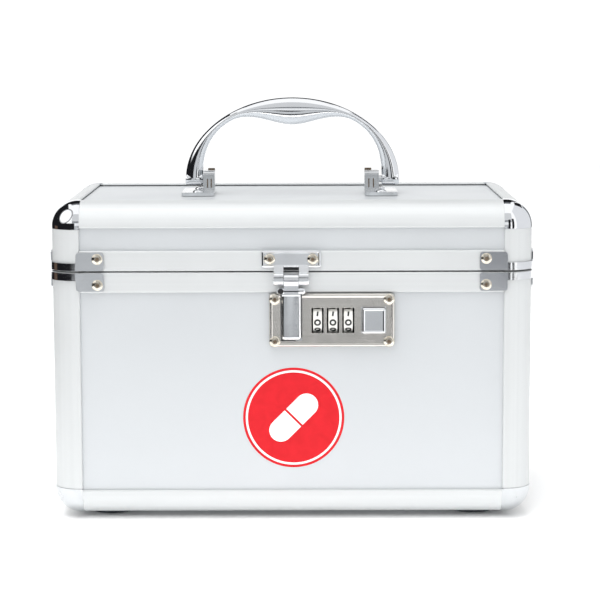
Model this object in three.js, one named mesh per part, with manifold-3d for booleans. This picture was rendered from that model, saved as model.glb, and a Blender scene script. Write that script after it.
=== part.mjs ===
// A medication lock box: a small aluminium-framed case with a hinged lid, a folding bow handle,
// chromed corners, and a three-dial combination lock whose hasp hangs from the lid.
// Millimetres, +Z up, front towards -Y. The origin lies under the middle of the box, on the surface
// that its feet stand on.

import * as THREE from 'three';
import { mergeVertices } from 'three/addons/utils/BufferGeometryUtils.js';
import Module from 'manifold-3d';

const wasm = await Module();
wasm.setup();

// Case.
const caseWidth = 270;
const caseDepth = 155;
const baseHeight = 138.6;
const lidHeight = 38.7;
const partingGap = 0.8;
const seatGap = 0.3;
const overrun = 1;

// Aluminium edge profiles, with a channel in each leg that holds a panel.
const edgeRadius = 14.6;
const postLeg = 16.5;
const railFaceLeg = 14.8;
const railFlatLeg = 15.2;
const lip = 1.5;
const coreWall = 1.3;
const channelDepth = 4.6;
const panelThickness = 4;
const panelCornerCut = 4;

// Rim profiles along the parting line.
const rimHeight = 11.4;
const rimLap = 1;
const tongueClearance = 0.5;
const tongueThickness = 1.6;
const tongueRise = 3.2;

// Ball corners.
const ballLeg = 15.2;
const ballProud = 0.3;
const ballWall = 1;

// Corner brackets at the parting line.
const bracketThickness = 0.8;
const bracketSetback = 0.3;
const tabHeight = 10.2;
const tabStart = 14.7;
const tabReach = 30.2;
const tabCornerRadius = 1.6;
const bandHeight = 4.2;
const bracketRivetInset = 26.6;
const bracketRivetRise = 6.6;

// Blind rivets.
const rivetHeadRadius = 3.1;
const rivetHeadHeight = 1.5;
const rivetCrownRadius = 1.7;
const rivetRimHeight = 0.7;
const rivetRoot = 0.3;

// Feet.
const footHeight = 3;
const footRadius = 12.7;
const footChamfer = 1.2;
const footRecessRadius = 5;
const footRecessDepth = 1.4;
const footInsetX = 31;
const footInsetY = 31.5;

// Rear hinge.
const hingeEndInset = 45;
const hingeLength = caseWidth - 2 * hingeEndInset;
const hingeKnuckles = 5;
const hingeKnuckleRadius = 2.2;
const hingeLeafThickness = 0.8;
const hingeLeafHeight = 10.6;
const hingeBoreRadius = 1.4;
const hingePinRadius = 1.1;
const hingePinHeadRadius = 1.8;
const hingePinHeadLength = 0.8;
const hingeRivetRise = 6.6;
const hingeRivets = 5;
const hingeRivetEnd = 10;

// Bow handle.
const bowHalfSpan = 63;
const bowRise = 48.2;
const bowLegWidth = 10.3;
const bowNeckWidth = 4.7;
const bowBellyWidth = 16;
const bowLegDepth = 7;
const bowNeckDepth = 9;
const bowBellyDepth = 14;
const bowLegSpan = 50;
const bowBellySpan = 38;
const bowEndRadius = 3.5;
const bowBoreRadius = 2.3;
const bowBoreDepth = 8;

// Handle brackets.
const pivotRise = 8.7;
const pivotRadius = 2;
const pivotReach = 7.5;
const bracketPlateLength = 19;
const bracketPlateWidth = 38;
const bracketPlateThickness = 2;
const bracketPlateRadius = 3;
const earThickness = 6.8;
const earWidth = 15;
const earRise = 13.8;
const earCrest = 2;
const screwPitch = 26;

// Catch plate and hasp.
const latchOffset = -0.3;
const catchWidth = 33.4;
const catchHeight = 9.9;
const catchThickness = 1.5;
const catchRise = 1.8;
const catchCornerRadius = 1.4;
const catchRimWidth = 1.4;
const catchRimDepth = 0.6;
const catchRivetPitch = 24;
const haspBarrelRadius = 2.8;
const haspBarrelClearance = 0.9;
const haspBarrelDrop = 4.9;
const haspBarrelWidth = 19.4;
const haspCentreWidth = 8.4;
const haspBoreRadius = 1.4;
const haspPinRadius = 1.1;
const haspNeckWidth = 16.4;
const haspNeckHeight = 5.1;
const haspThickness = 2;
const haspStep = 1.8;
const haspWidth = 10.9;
const haspDrop = 33.8;
const haspCornerRadius = 1.8;
const haspRimWidth = 1.4;
const haspRimDepth = 0.7;
const lugWidth = 4;
const lugHeight = 2.8;
const lugDepth = 1.6;
const lugRise = 1;

// Combination lock.
const lockOffset = 22.35;
const lockWidth = 70.4;
const lockHeight = 30.3;
const lockCornerRadius = 2;
const lockFaceDepth = 3.4;
const lockFaceThickness = 1;
const lockWall = 1.2;
const lockRimWidth = 2;
const lockRimProud = 0.6;
const lockRivetInset = 3.3;
const notchWidth = 12;
const notchFloorRise = 3.5;
const dialRadius = 8;
const dialWidth = 5;
const dialPitch = 8.6;
const dialCount = 3;
const dialProud = 0.8;
const dialBoreRadius = 2.1;
const dialSides = 20;
const dialWindowWidth = 5.7;
const dialWindowHeight = 13.8;
const dialShift = 0.55;
const axleRadius = 1.8;
const axleEarThickness = 1.2;
const axleEarHeight = 5;
const axleEarGap = 0.5;
const buttonWidth = 13.2;
const buttonHeight = 14.5;
const buttonProud = 2.3;
const buttonBevel = 1.2;
const buttonFaceDepth = 0.5;
const buttonShift = 23.4;
const buttonClearance = 0.3;
const buttonFlange = 0.9;
const buttonFlangeThickness = 1.1;
const buttonTravel = 2.2;
const boltHeight = 2.6;
const boltRise = 2.7;
const boltThickness = 1.8;
const boltNoseGap = 0.6;
const boltArmWidth = 3.4;
const boltArmHeight = 9.8;
const boltArmGap = 0.4;
const panelHoleMargin = 1.2;
const housingMargin = 1;
const housingWall = 1.2;
const housingDepth = 10;
const housingFlange = 3;

// Facets of round shapes.
const edgeSteps = 6;
const roundSteps = 16;
const rivetSides = 8;
const footSides = 24;
const bowStations = 36;
const bowSides = 10;
const cornerSteps = 3;
const ballSteps = 24;

// Heights and depths that follow from the sizes above.
const channelInner = lip + panelThickness + 2 * seatGap;
const profileBack = channelInner + lip;
const panelRecess = lip + seatGap;
const railEnd = ballLeg + seatGap;
const halfWidth = caseWidth / 2;
const halfDepth = caseDepth / 2;
const partingHeight = footHeight + baseHeight + partingGap;
const hingeAxisY = halfDepth + seatGap + hingeKnuckleRadius;
const hingeAxisZ = footHeight + baseHeight + partingGap / 2;
const catchBackY = -halfDepth - seatGap;
const haspAxisY = -halfDepth - haspBarrelClearance - haspBarrelRadius;
const haspAxisZ = partingHeight - haspBarrelDrop;
const lockFaceY = -halfDepth + panelRecess - seatGap - lockFaceDepth;
const lockCentreZ = footHeight + baseHeight - rimHeight - seatGap - lockHeight / 2;
const lidTop = partingHeight + lidHeight;
const pivotZ = lidTop - panelRecess + pivotRise;
const pivotX = bowHalfSpan - bowLegWidth - seatGap;

const brushedAluminium = { color: 0xeceeee, roughness: 0.35, metalness: 0.9 };
const panelSheet = { color: 0xd9dde1, roughness: 0.5, metalness: 0.3 };
const polishedChrome = { color: 0xd4d6da, roughness: 0.1, metalness: 1 };
const platedSteel = { color: 0xb2b7bd, roughness: 0.3, metalness: 0.9 };
const satinNickel = { color: 0xc0bcb2, roughness: 0.35, metalness: 0.9 };
const whitePlastic = { color: 0xf0efea, roughness: 0.45, metalness: 0 };
const darkRubber = { color: 0x3a4046, roughness: 0.8, metalness: 0 };

const group = (parent, x = 0, y = 0, z = 0) => {
  const child = new THREE.Group();
  child.position.set(x, y, z);
  parent.add(child);
  return child;
};

const addPiece = (parent, name, geometry, finish) => {
  const mesh = new THREE.Mesh(geometry, new THREE.MeshStandardMaterial(finish));
  mesh.name = name;
  parent.add(mesh);
  return mesh;
};

// Solids that can be joined and cut.
const toSolid = (geometry) => {
  const bare = geometry.clone();
  bare.deleteAttribute('normal');
  bare.deleteAttribute('uv');
  const merged = mergeVertices(bare);
  return new wasm.Manifold(new wasm.Mesh({
    numProp: 3,
    vertProperties: new Float32Array(merged.attributes.position.array),
    triVerts: new Uint32Array(merged.index.array),
  }));
};

const toGeometry = (solid) => {
  const mesh = solid.getMesh();
  const geometry = new THREE.BufferGeometry();
  geometry.setAttribute('position', new THREE.BufferAttribute(new Float32Array(mesh.vertProperties), 3));
  geometry.setIndex(new THREE.BufferAttribute(new Uint32Array(mesh.triVerts), 1));
  geometry.computeVertexNormals();
  return geometry;
};

const join = (first, ...others) => toGeometry(
  others.reduce((sum, piece) => sum.add(toSolid(piece)), toSolid(first)));

const cut = (body, ...tools) => toGeometry(
  tools.reduce((rest, tool) => rest.subtract(toSolid(tool)), toSolid(body)));

const common = (first, second) => toGeometry(toSolid(first).intersect(toSolid(second)));

// A block between two opposite corners.
const block = (x0, x1, y0, y1, z0, z1) => {
  const geometry = new THREE.BoxGeometry(x1 - x0, y1 - y0, z1 - z0);
  geometry.translate((x0 + x1) / 2, (y0 + y1) / 2, (z0 + z1) / 2);
  return geometry;
};

// Turns a shape that was extruded along local z so that its length runs along another axis. The
// shape's own two axes become (y, z) for a length along x, and (z, x) for a length along y.
const turnTo = {
  x: new THREE.Matrix4().makeBasis(
    new THREE.Vector3(0, 1, 0), new THREE.Vector3(0, 0, 1), new THREE.Vector3(1, 0, 0)),
  y: new THREE.Matrix4().makeBasis(
    new THREE.Vector3(0, 0, 1), new THREE.Vector3(1, 0, 0), new THREE.Vector3(0, 1, 0)),
  z: new THREE.Matrix4(),
};

const extrude = (shape, axis, from, to) => {
  const options = { depth: to - from, bevelEnabled: false, curveSegments: 1 };
  const geometry = new THREE.ExtrudeGeometry(shape, options);
  geometry.translate(0, 0, from);
  geometry.applyMatrix4(turnTo[axis]);
  return geometry;
};

const rod = (axis, radius, from, to, sides = roundSteps) => extrude(disc(radius, sides), axis, from, to);

// A closed outline, put in anticlockwise order.
const shapeOf = (points) => {
  const outline = points.map(([a, b]) => new THREE.Vector2(a, b));
  return new THREE.Shape(THREE.ShapeUtils.isClockWise(outline) ? outline.reverse() : outline);
};

const disc = (radius, sides) => shapeOf(arc(0, 0, radius, 0, 2 * Math.PI, sides).slice(1));

const arc = (a, b, radius, start, end, steps) => Array.from({ length: steps + 1 }, (_, i) => {
  const angle = start + (end - start) * i / steps;
  return [a + radius * Math.cos(angle), b + radius * Math.sin(angle)];
});

const roundedRectangle = (width, height, radius, steps = cornerSteps) => {
  const a = width / 2 - radius;
  const b = height / 2 - radius;
  const quarter = Math.PI / 2;
  return shapeOf([
    ...arc(a, b, radius, 0, quarter, steps),
    ...arc(-a, b, radius, quarter, 2 * quarter, steps),
    ...arc(-a, -b, radius, 2 * quarter, 3 * quarter, steps),
    ...arc(a, -b, radius, 3 * quarter, 4 * quarter, steps),
  ]);
};

// A low domed rivet head that sits on a surface at zero, with a short root below it, and whose crown
// points in a direction.
const rivetHead = (direction) => {
  const profile = [[0, -rivetRoot], [rivetHeadRadius, -rivetRoot], [rivetHeadRadius, rivetRimHeight],
    [rivetCrownRadius, rivetHeadHeight], [0, rivetHeadHeight]];
  const geometry = new THREE.LatheGeometry(profile.map(([r, h]) => new THREE.Vector2(r, h)), rivetSides);
  const quarter = Math.PI / 2;
  if (direction === '-y') geometry.rotateX(2 * quarter);
  if (direction === '+x') geometry.rotateZ(-quarter);
  if (direction === '-x') geometry.rotateZ(quarter);
  return geometry;
};

const moved = (geometry, x, y, z) => geometry.clone().translate(x, y, z);

// The hollow quarter-round profile of a post or rail. Its outer corner is at zero, its legs run
// towards signA and signB, and each leg has an open channel for a panel.
const edgeProfile = (legA, legB, signA, signB) => {
  const floorA = legA - channelDepth;
  const floorB = legB - channelDepth;
  const quarter = Math.PI / 2;
  const outline = [
    ...arc(edgeRadius, edgeRadius, edgeRadius, 2 * quarter, 3 * quarter, edgeSteps),
    [legA, 0], [legA, lip], [floorA, lip], [floorA, channelInner], [legA, channelInner],
    [legA, profileBack], [profileBack, profileBack], [profileBack, legB],
    [channelInner, legB], [channelInner, floorB], [lip, floorB], [lip, legB], [0, legB],
  ];
  const coreRadius = edgeRadius - coreWall;
  const coreStart = 2 * quarter + Math.asin((edgeRadius - floorB + coreWall) / coreRadius);
  const coreEnd = 3 * quarter - Math.asin((edgeRadius - floorA + coreWall) / coreRadius);
  const corner = profileBack - coreWall;
  const core = [
    ...arc(edgeRadius, edgeRadius, coreRadius, coreStart, coreEnd, edgeSteps - 2),
    [floorA - coreWall, corner], [corner, corner], [corner, floorB - coreWall],
  ];
  const turned = (points) => points.map(([a, b]) => [signA * a, signB * b]);
  const shape = shapeOf(turned(outline));
  shape.holes.push(shapeOf(turned(core)));
  return shape;
};

// The rim profile along the parting line: depth runs inwards along signA, height runs away from the
// parting line along signB. The channel for the panel opens at the far edge.
const rimProfile = (depth, signA, signB) => {
  const channelFloor = rimHeight - channelDepth;
  const outline = [
    [0, 0], [depth, 0], [depth, rimHeight], [channelInner, rimHeight],
    [channelInner, channelFloor], [lip, channelFloor], [lip, rimHeight], [0, rimHeight],
  ];
  const core = [
    [coreWall, coreWall], [profileBack - coreWall, coreWall],
    [profileBack - coreWall, channelFloor - coreWall], [coreWall, channelFloor - coreWall],
  ];
  const turned = (points) => points.map(([a, b]) => [signA * a, signB * b]);
  const shape = shapeOf(turned(outline));
  shape.holes.push(shapeOf(turned(core)));
  return shape;
};

// A sheet panel with its corners cut off to clear the ball corners.
const panelShape = (halfA, low, high, cornerCut = panelCornerCut) => shapeOf([
  [-halfA + cornerCut, low], [halfA - cornerCut, low],
  [halfA, low + cornerCut], [halfA, high - cornerCut],
  [halfA - cornerCut, high], [-halfA + cornerCut, high],
  [-halfA, high - cornerCut], [-halfA, low + cornerCut],
]);

// The four sides of the case: name, run axis, outward sign, half length of the side and its distance.
const sides = [
  { name: 'front', axis: 'x', sign: -1, half: halfWidth, reach: halfDepth },
  { name: 'rear', axis: 'x', sign: 1, half: halfWidth, reach: halfDepth },
  { name: 'left', axis: 'y', sign: -1, half: halfDepth, reach: halfWidth },
  { name: 'right', axis: 'y', sign: 1, half: halfDepth, reach: halfWidth },
];

const corners = [
  { name: 'front_left', x: -1, y: -1 },
  { name: 'front_right', x: 1, y: -1 },
  { name: 'rear_left', x: -1, y: 1 },
  { name: 'rear_right', x: 1, y: 1 },
];

// Places geometry that was drawn at a side's outer face onto that side.
const ontoSide = (geometry, side) => {
  const out = side.sign * side.reach;
  return side.axis === 'x' ? moved(geometry, 0, out, 0) : moved(geometry, out, 0, 0);
};

// Reverses the triangles of a mirrored solid, so that its faces point out again.
const flipped = (geometry) => {
  const plain = geometry.index ? geometry.toNonIndexed() : geometry;
  const old = plain.attributes.position;
  const positions = new Float32Array(old.count * 3);
  const order = [0, 2, 1];
  for (let i = 0; i < old.count; i += 1) {
    const from = i - (i % 3) + order[i % 3];
    positions.set([old.getX(from), old.getY(from), old.getZ(from)], 3 * i);
  }
  const result = new THREE.BufferGeometry();
  result.setAttribute('position', new THREE.BufferAttribute(positions, 3));
  result.computeVertexNormals();
  return result;
};

// A rail or rim along one side, whose section is drawn as depth inwards and height.
const alongSide = (profile, side, halfLength) => {
  const bar = extrude(profile(-side.sign, 1), 'x', -halfLength, halfLength);
  if (side.axis === 'x') return ontoSide(bar, side);
  bar.applyMatrix4(new THREE.Matrix4().makeBasis(
    new THREE.Vector3(0, 1, 0), new THREE.Vector3(1, 0, 0), new THREE.Vector3(0, 0, 1)));
  return ontoSide(flipped(bar), side);
};

// A side panel: a sheet that stands just inside the lips of the profiles round it.
const sidePanel = (side, low, high) => {
  const halfLength = side.half - postLeg + channelDepth - seatGap;
  const inner = side.sign * (side.reach - panelRecess - panelThickness);
  const outer = side.sign * (side.reach - panelRecess);
  const from = Math.min(inner, outer);
  const to = Math.max(inner, outer);
  if (side.axis === 'x') {
    const geometry = extrude(panelShape(halfLength, low, high), 'z', -to, -from);
    geometry.rotateX(Math.PI / 2);
    return geometry;
  }
  const geometry = extrude(panelShape(halfLength, low, high), 'z', from, to);
  geometry.applyMatrix4(new THREE.Matrix4().makeBasis(
    new THREE.Vector3(0, 1, 0), new THREE.Vector3(0, 0, 1), new THREE.Vector3(1, 0, 0)));
  return geometry;
};

// The bottom or top panel.
const flatPanel = (from, to) => {
  const inset = railFlatLeg - channelDepth + seatGap;
  const halfLength = halfWidth - inset;
  const halfBreadth = halfDepth - inset;
  return extrude(panelShape(halfLength, -halfBreadth, halfBreadth), 'z', from, to);
};

// A thin chromed eighth of a ball that closes a corner of three profiles.
const ballCorner = (x, y, z) => {
  const outer = new THREE.SphereGeometry(edgeRadius + ballProud, ballSteps, ballSteps / 2);
  const inner = new THREE.SphereGeometry(edgeRadius + ballProud - ballWall, ballSteps, ballSteps / 2);
  const skirt = ballLeg - edgeRadius;
  const far = edgeRadius + overrun;
  const span = (sign) => (sign < 0 ? [-far, skirt] : [-skirt, far]);
  const eighth = block(...span(x), ...span(y), ...span(z));
  return common(cut(outer, inner), eighth);
};

const addBallCorners = (parent, prefix, z, up) => {
  for (const corner of corners) {
    const mesh = addPiece(parent, `${prefix}_ball_corner_${corner.name}`, ballCorner(corner.x, corner.y, up),
      polishedChrome);
    mesh.position.set(corner.x * (halfWidth - edgeRadius), corner.y * (halfDepth - edgeRadius), z);
  }
};

// A bracket that wraps a post at the parting line, with a riveted tab on each face of the corner.
// It is drawn with the corner's outer edge at zero and z running away from the parting line.
const cornerBracket = (signX, signY, signZ) => {
  const inner = seatGap;
  const outer = seatGap + bracketThickness;
  const quarter = Math.PI / 2;
  const lap = tabStart + overrun;
  const bandPoints = [
    [lap, -outer],
    ...arc(edgeRadius, edgeRadius, edgeRadius + outer, 3 * quarter, 2 * quarter, edgeSteps),
    [-outer, lap], [-inner, lap],
    ...arc(edgeRadius, edgeRadius, edgeRadius + inner, 2 * quarter, 3 * quarter, edgeSteps),
    [lap, -inner],
  ];
  const zSpan = (height) => (signZ > 0 ? [0, height] : [-height, 0]);
  const bandShape = shapeOf(bandPoints.map(([a, b]) => [signX * a, signY * b]));
  const band = extrude(bandShape, 'z', ...zSpan(bandHeight));
  const tab = roundedRectangle(tabReach - tabStart, tabHeight, tabCornerRadius);
  const tabMiddle = (tabReach + tabStart) / 2;
  const faceTab = extrude(tab, 'z', 0, bracketThickness);
  faceTab.rotateX(quarter);
  const sideTab = faceTab.clone();
  sideTab.rotateZ(quarter);
  const middleZ = signZ * tabHeight / 2;
  faceTab.translate(signX * tabMiddle, signY > 0 ? -inner : outer, middleZ);
  sideTab.translate(signX > 0 ? -outer : inner, signY * tabMiddle, middleZ);
  const rivetZ = signZ * bracketRivetRise;
  const faceHead = rivetHead(signY > 0 ? '-y' : '+y');
  const sideHead = rivetHead(signX > 0 ? '-x' : '+x');
  const faceRivet = moved(faceHead, signX * bracketRivetInset, -signY * outer, rivetZ);
  const sideRivet = moved(sideHead, -signX * outer, signY * bracketRivetInset, rivetZ);
  return { band, faceTab, sideTab, faceRivet, sideRivet };
};

const addCornerBrackets = (parent, prefix, signZ) => {
  for (const corner of corners) {
    const signX = -corner.x;
    const signY = -corner.y;
    const parts = cornerBracket(signX, signY, signZ);
    const mesh = addPiece(parent, `${prefix}_corner_bracket_${corner.name}`, join(...Object.values(parts)),
      platedSteel);
    mesh.position.set(corner.x * halfWidth, corner.y * halfDepth, signZ * bracketSetback);
  }
};

const box = new THREE.Group();
const base = group(box, 0, 0, footHeight);
const lid = group(box, 0, 0, partingHeight);

// Base: posts, bottom rails, rim with its tongue, panels and feet. Heights run from its underside.
for (const corner of corners) {
  const post = extrude(edgeProfile(postLeg, postLeg, -corner.x, -corner.y), 'z', railEnd, baseHeight);
  const mesh = addPiece(base, `base_corner_post_${corner.name}`, post, brushedAluminium);
  mesh.position.set(corner.x * halfWidth, corner.y * halfDepth, 0);
}
for (const side of sides) {
  const rail = alongSide((a, b) => edgeProfile(railFlatLeg, railFaceLeg, a, b), side, side.half - railEnd);
  addPiece(base, `base_bottom_rail_${side.name}`, rail, brushedAluminium);
}

const tongueOuter = profileBack + tongueClearance;
const tongueInner = tongueOuter + tongueThickness;
const ringBlock = (inset, low, high) => block(
  -halfWidth + inset, halfWidth - inset, -halfDepth + inset, halfDepth - inset, low, high);
const tongue = cut(
  ringBlock(tongueOuter, baseHeight - rimHeight, baseHeight + tongueRise),
  ringBlock(tongueInner, baseHeight - rimHeight - overrun, baseHeight + tongueRise + overrun));
const baseRimDepth = tongueOuter + tongueThickness / 2;
const baseRimBars = sides.map((side) => moved(
  alongSide((a, b) => rimProfile(baseRimDepth, a, -b), side, side.half - postLeg - seatGap),
  0, 0, baseHeight));
addPiece(base, 'base_rim_frame', join(tongue, ...baseRimBars), brushedAluminium);

const sidePanelLow = railFaceLeg - channelDepth + seatGap;
const sidePanelHigh = baseHeight - rimHeight + channelDepth - seatGap;
const lockCentre = lockCentreZ - footHeight;
const windowHalfHeight = dialWindowHeight / 2;
const dialMiddle = lockOffset + dialShift;
const dialBankHalf = dialPitch * (dialCount - 1) / 2 + dialWidth / 2 + axleEarGap + axleEarThickness;
const buttonCentre = lockOffset + buttonShift;
const flangeHalfWidth = buttonWidth / 2 + buttonFlange;
const holeLeft = dialMiddle - dialBankHalf - panelHoleMargin;
const holeRight = buttonCentre + flangeHalfWidth + panelHoleMargin / 2;
const holeHalfHeight = dialRadius + panelHoleMargin;
const boltBottom = lockCentre - lockHeight / 2 + boltRise;
const boltArmLeft = buttonCentre - boltArmWidth / 2;
const lockOpening = (from, to) => [
  block(holeLeft, holeRight, from, to, lockCentre - holeHalfHeight, lockCentre + holeHalfHeight),
  block(boltArmLeft - seatGap, boltArmLeft + boltArmWidth + buttonTravel + seatGap, from, to,
    boltBottom - seatGap, lockCentre),
];
for (const side of sides) {
  const sheet = sidePanel(side, sidePanelLow, sidePanelHigh);
  const lockSide = side.name === 'front';
  const panel = lockSide ? cut(sheet, ...lockOpening(-halfDepth, -halfDepth + profileBack)) : sheet;
  addPiece(base, `base_panel_${side.name}`, panel, panelSheet);
}
addPiece(base, 'base_panel_bottom', flatPanel(panelRecess, panelRecess + panelThickness), panelSheet);
addBallCorners(base, 'base', edgeRadius, -1);

for (const corner of corners) {
  const top = footHeight + panelRecess - seatGap;
  const profile = [
    [0, footRecessDepth], [footRecessRadius, footRecessDepth], [footRecessRadius, 0],
    [footRadius - footChamfer, 0], [footRadius, footChamfer], [footRadius, top], [0, top],
  ];
  const foot = new THREE.LatheGeometry(profile.map(([r, h]) => new THREE.Vector2(r, h)), footSides);
  foot.rotateX(Math.PI / 2);
  const mesh = addPiece(base, `foot_${corner.name}`, foot, darkRubber);
  mesh.position.set(
    corner.x * (halfWidth - footInsetX), corner.y * (halfDepth - footInsetY), -footHeight);
}

// Lid: top rails, rim frame with its short corner posts, side strips and top panel. Heights run from
// the parting line.
const lidRimParts = corners.map((corner) => moved(
  extrude(edgeProfile(postLeg, postLeg, -corner.x, -corner.y), 'z', 0, lidHeight - railEnd),
  corner.x * halfWidth, corner.y * halfDepth, 0));
const lidRimBars = sides.map((side) => alongSide(
  (a, b) => rimProfile(profileBack, a, b), side, side.half - postLeg + rimLap));
addPiece(lid, 'lid_rim_frame', join(...lidRimParts, ...lidRimBars), brushedAluminium);
for (const side of sides) {
  const rail = alongSide((a, b) => edgeProfile(railFlatLeg, railFaceLeg, a, -b), side, side.half - railEnd);
  addPiece(lid, `lid_top_rail_${side.name}`, moved(rail, 0, 0, lidHeight), brushedAluminium);
  const low = rimHeight - channelDepth + seatGap;
  const high = lidHeight - railFaceLeg + channelDepth - seatGap;
  addPiece(lid, `lid_panel_${side.name}`, sidePanel(side, low, high), panelSheet);
}
const lidPanelTop = lidHeight - panelRecess;
addPiece(lid, 'lid_panel_top', flatPanel(lidPanelTop - panelThickness, lidPanelTop), panelSheet);
addBallCorners(lid, 'lid', lidHeight - edgeRadius, 1);

addCornerBrackets(group(box, 0, 0, footHeight + baseHeight), 'base', -1);
addCornerBrackets(lid, 'lid', 1);

// Rear hinge: two riveted leaves with interlocking knuckles on one long pin.
const hinge = group(box, 0, hingeAxisY, hingeAxisZ);
const knuckleLength = hingeLength / hingeKnuckles;
const hingeLeaf = (up, owned) => {
  const back = -hingeKnuckleRadius;
  const reach = hingeKnuckleRadius + 2 * seatGap;
  const half = hingeLength / 2;
  const plate = block(-half, half, back, back + hingeLeafThickness, 0, hingeLeafHeight);
  const knuckles = [];
  const clearings = [];
  for (let i = 0; i < hingeKnuckles; i += 1) {
    const from = -half + i * knuckleLength;
    const to = from + knuckleLength;
    if (owned(i)) {
      knuckles.push(rod('x', hingeKnuckleRadius, from + seatGap / 2, to - seatGap / 2));
    } else {
      clearings.push(block(from - seatGap / 2, to + seatGap / 2, -reach, reach, -reach, reach));
    }
  }
  const rivetRun = hingeLength - 2 * hingeRivetEnd;
  const rivets = Array.from({ length: hingeRivets }, (_, i) => {
    const along = -rivetRun / 2 + i * rivetRun / (hingeRivets - 1);
    return moved(rivetHead('+y'), along, back + hingeLeafThickness, hingeRivetRise);
  });
  const joined = join(plate, ...knuckles, ...rivets);
  const leaf = cut(joined, ...clearings, rod('x', hingeBoreRadius, -half - overrun, half + overrun));
  return up ? leaf : leaf.rotateX(Math.PI).scale(1, -1, 1);
};
addPiece(hinge, 'hinge_leaf_lid', hingeLeaf(true, (i) => i % 2 === 1), platedSteel);
addPiece(hinge, 'hinge_leaf_base', flipped(hingeLeaf(false, (i) => i % 2 === 0)), platedSteel);
const pinHalf = hingeLength / 2 + seatGap;
addPiece(hinge, 'hinge_pin', join(
  rod('x', hingePinRadius, -pinHalf - seatGap, pinHalf + seatGap),
  rod('x', hingePinHeadRadius, -pinHalf - hingePinHeadLength, -pinHalf),
  rod('x', hingePinHeadRadius, pinHalf, pinHalf + hingePinHeadLength)), platedSteel);

// Bow handle: an elliptical arch, slim at the shoulders, with a swollen grip in the middle. Each
// station is a section square to the arch, drawn inwards from its outer edge.
const bell = (angle, span) => (angle < span ? (1 + Math.cos(Math.PI * angle / span)) / 2 : 0);
const bowSize = (angle, leg, neck, belly) => {
  const fromLeg = Math.min(angle, 180 - angle);
  return neck + (leg - neck) * bell(fromLeg, bowLegSpan) + (belly - neck) * bell(90 - fromLeg, bowBellySpan);
};
const bowSection = (angle) => {
  const t = THREE.MathUtils.degToRad(angle);
  const outer = new THREE.Vector3(bowHalfSpan * Math.cos(t), 0, bowRise * Math.sin(t));
  const inward = new THREE.Vector3(-Math.cos(t) / bowHalfSpan, 0, -Math.sin(t) / bowRise).normalize();
  const width = bowSize(angle, bowLegWidth, bowNeckWidth, bowBellyWidth);
  const depth = bowSize(angle, bowLegDepth, bowNeckDepth, bowBellyDepth);
  return Array.from({ length: bowSides }, (_, i) => {
    const turn = 2 * Math.PI * i / bowSides;
    const across = width / 2 * (1 - Math.cos(turn));
    return outer.clone().addScaledVector(inward, across).setY(depth / 2 * Math.sin(turn));
  });
};
const bow = (() => {
  const rings = Array.from({ length: bowStations + 1 }, (_, i) => bowSection(180 * i / bowStations));
  const positions = [];
  const index = [];
  rings.forEach((ring) => ring.forEach((point) => positions.push(...point.toArray())));
  for (let i = 0; i < bowStations; i += 1) {
    for (let j = 0; j < bowSides; j += 1) {
      const a = i * bowSides + j;
      const b = i * bowSides + (j + 1) % bowSides;
      index.push(a, b, a + bowSides, b, b + bowSides, a + bowSides);
    }
  }
  const last = bowStations * bowSides;
  for (let j = 1; j < bowSides - 1; j += 1) {
    index.push(0, j + 1, j);
    index.push(last, last + j, last + j + 1);
  }
  const geometry = new THREE.BufferGeometry();
  geometry.setAttribute('position', new THREE.Float32BufferAttribute(positions, 3));
  geometry.setIndex(index);
  return geometry;
})();
const bowEnd = (sign) => {
  const inner = sign * (bowHalfSpan - bowLegWidth);
  const outer = sign * bowHalfSpan;
  return rod('x', bowEndRadius, Math.min(inner, outer), Math.max(inner, outer));
};
const bowBore = (sign) => {
  const inner = sign * (bowHalfSpan - bowLegWidth - overrun);
  const outer = sign * (bowHalfSpan - bowLegWidth + bowBoreDepth);
  return rod('x', bowBoreRadius, Math.min(inner, outer), Math.max(inner, outer));
};
const handle = group(box, 0, 0, pivotZ);
const bowSolid = join(bow, bowEnd(-1), bowEnd(1));
addPiece(handle, 'handle_bow', cut(bowSolid, bowBore(-1), bowBore(1)), polishedChrome);

// Handle brackets: a base plate on the lid panel, an ear at its inner end and the pivot pin.
for (const side of [{ name: 'left', sign: -1 }, { name: 'right', sign: 1 }]) {
  const bottom = -pivotRise + seatGap;
  const plateTop = bottom + bracketPlateThickness;
  const inner = pivotX - earThickness;
  const plateOutline = roundedRectangle(bracketPlateLength, bracketPlateWidth, bracketPlateRadius);
  const plate = extrude(plateOutline, 'z', bottom, plateTop);
  plate.translate(inner + bracketPlateLength / 2, 0, 0);
  const crestHalf = earWidth / 2 - earCrest;
  const earTop = bottom + earRise;
  const ear = extrude(shapeOf([
    [-earWidth / 2, bottom + seatGap], [earWidth / 2, bottom + seatGap], [earWidth / 2, earTop - earCrest],
    [crestHalf, earTop], [-crestHalf, earTop], [-earWidth / 2, earTop - earCrest],
  ]), 'x', inner, pivotX);
  const pin = rod('x', pivotRadius, pivotX - overrun, pivotX + pivotReach);
  const screws = [-1, 1].map((end) => {
    const head = rivetHead('+y');
    head.rotateX(Math.PI / 2);
    const along = pivotX + bracketPlateLength / 2 - earThickness;
    return moved(head, along, end * screwPitch / 2, plateTop);
  });
  const bracket = join(plate, ear, pin, ...screws);
  const mirrored = side.sign < 0 ? bracket.rotateZ(Math.PI) : bracket;
  addPiece(handle, `handle_bracket_${side.name}`, mirrored, polishedChrome);
}

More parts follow.
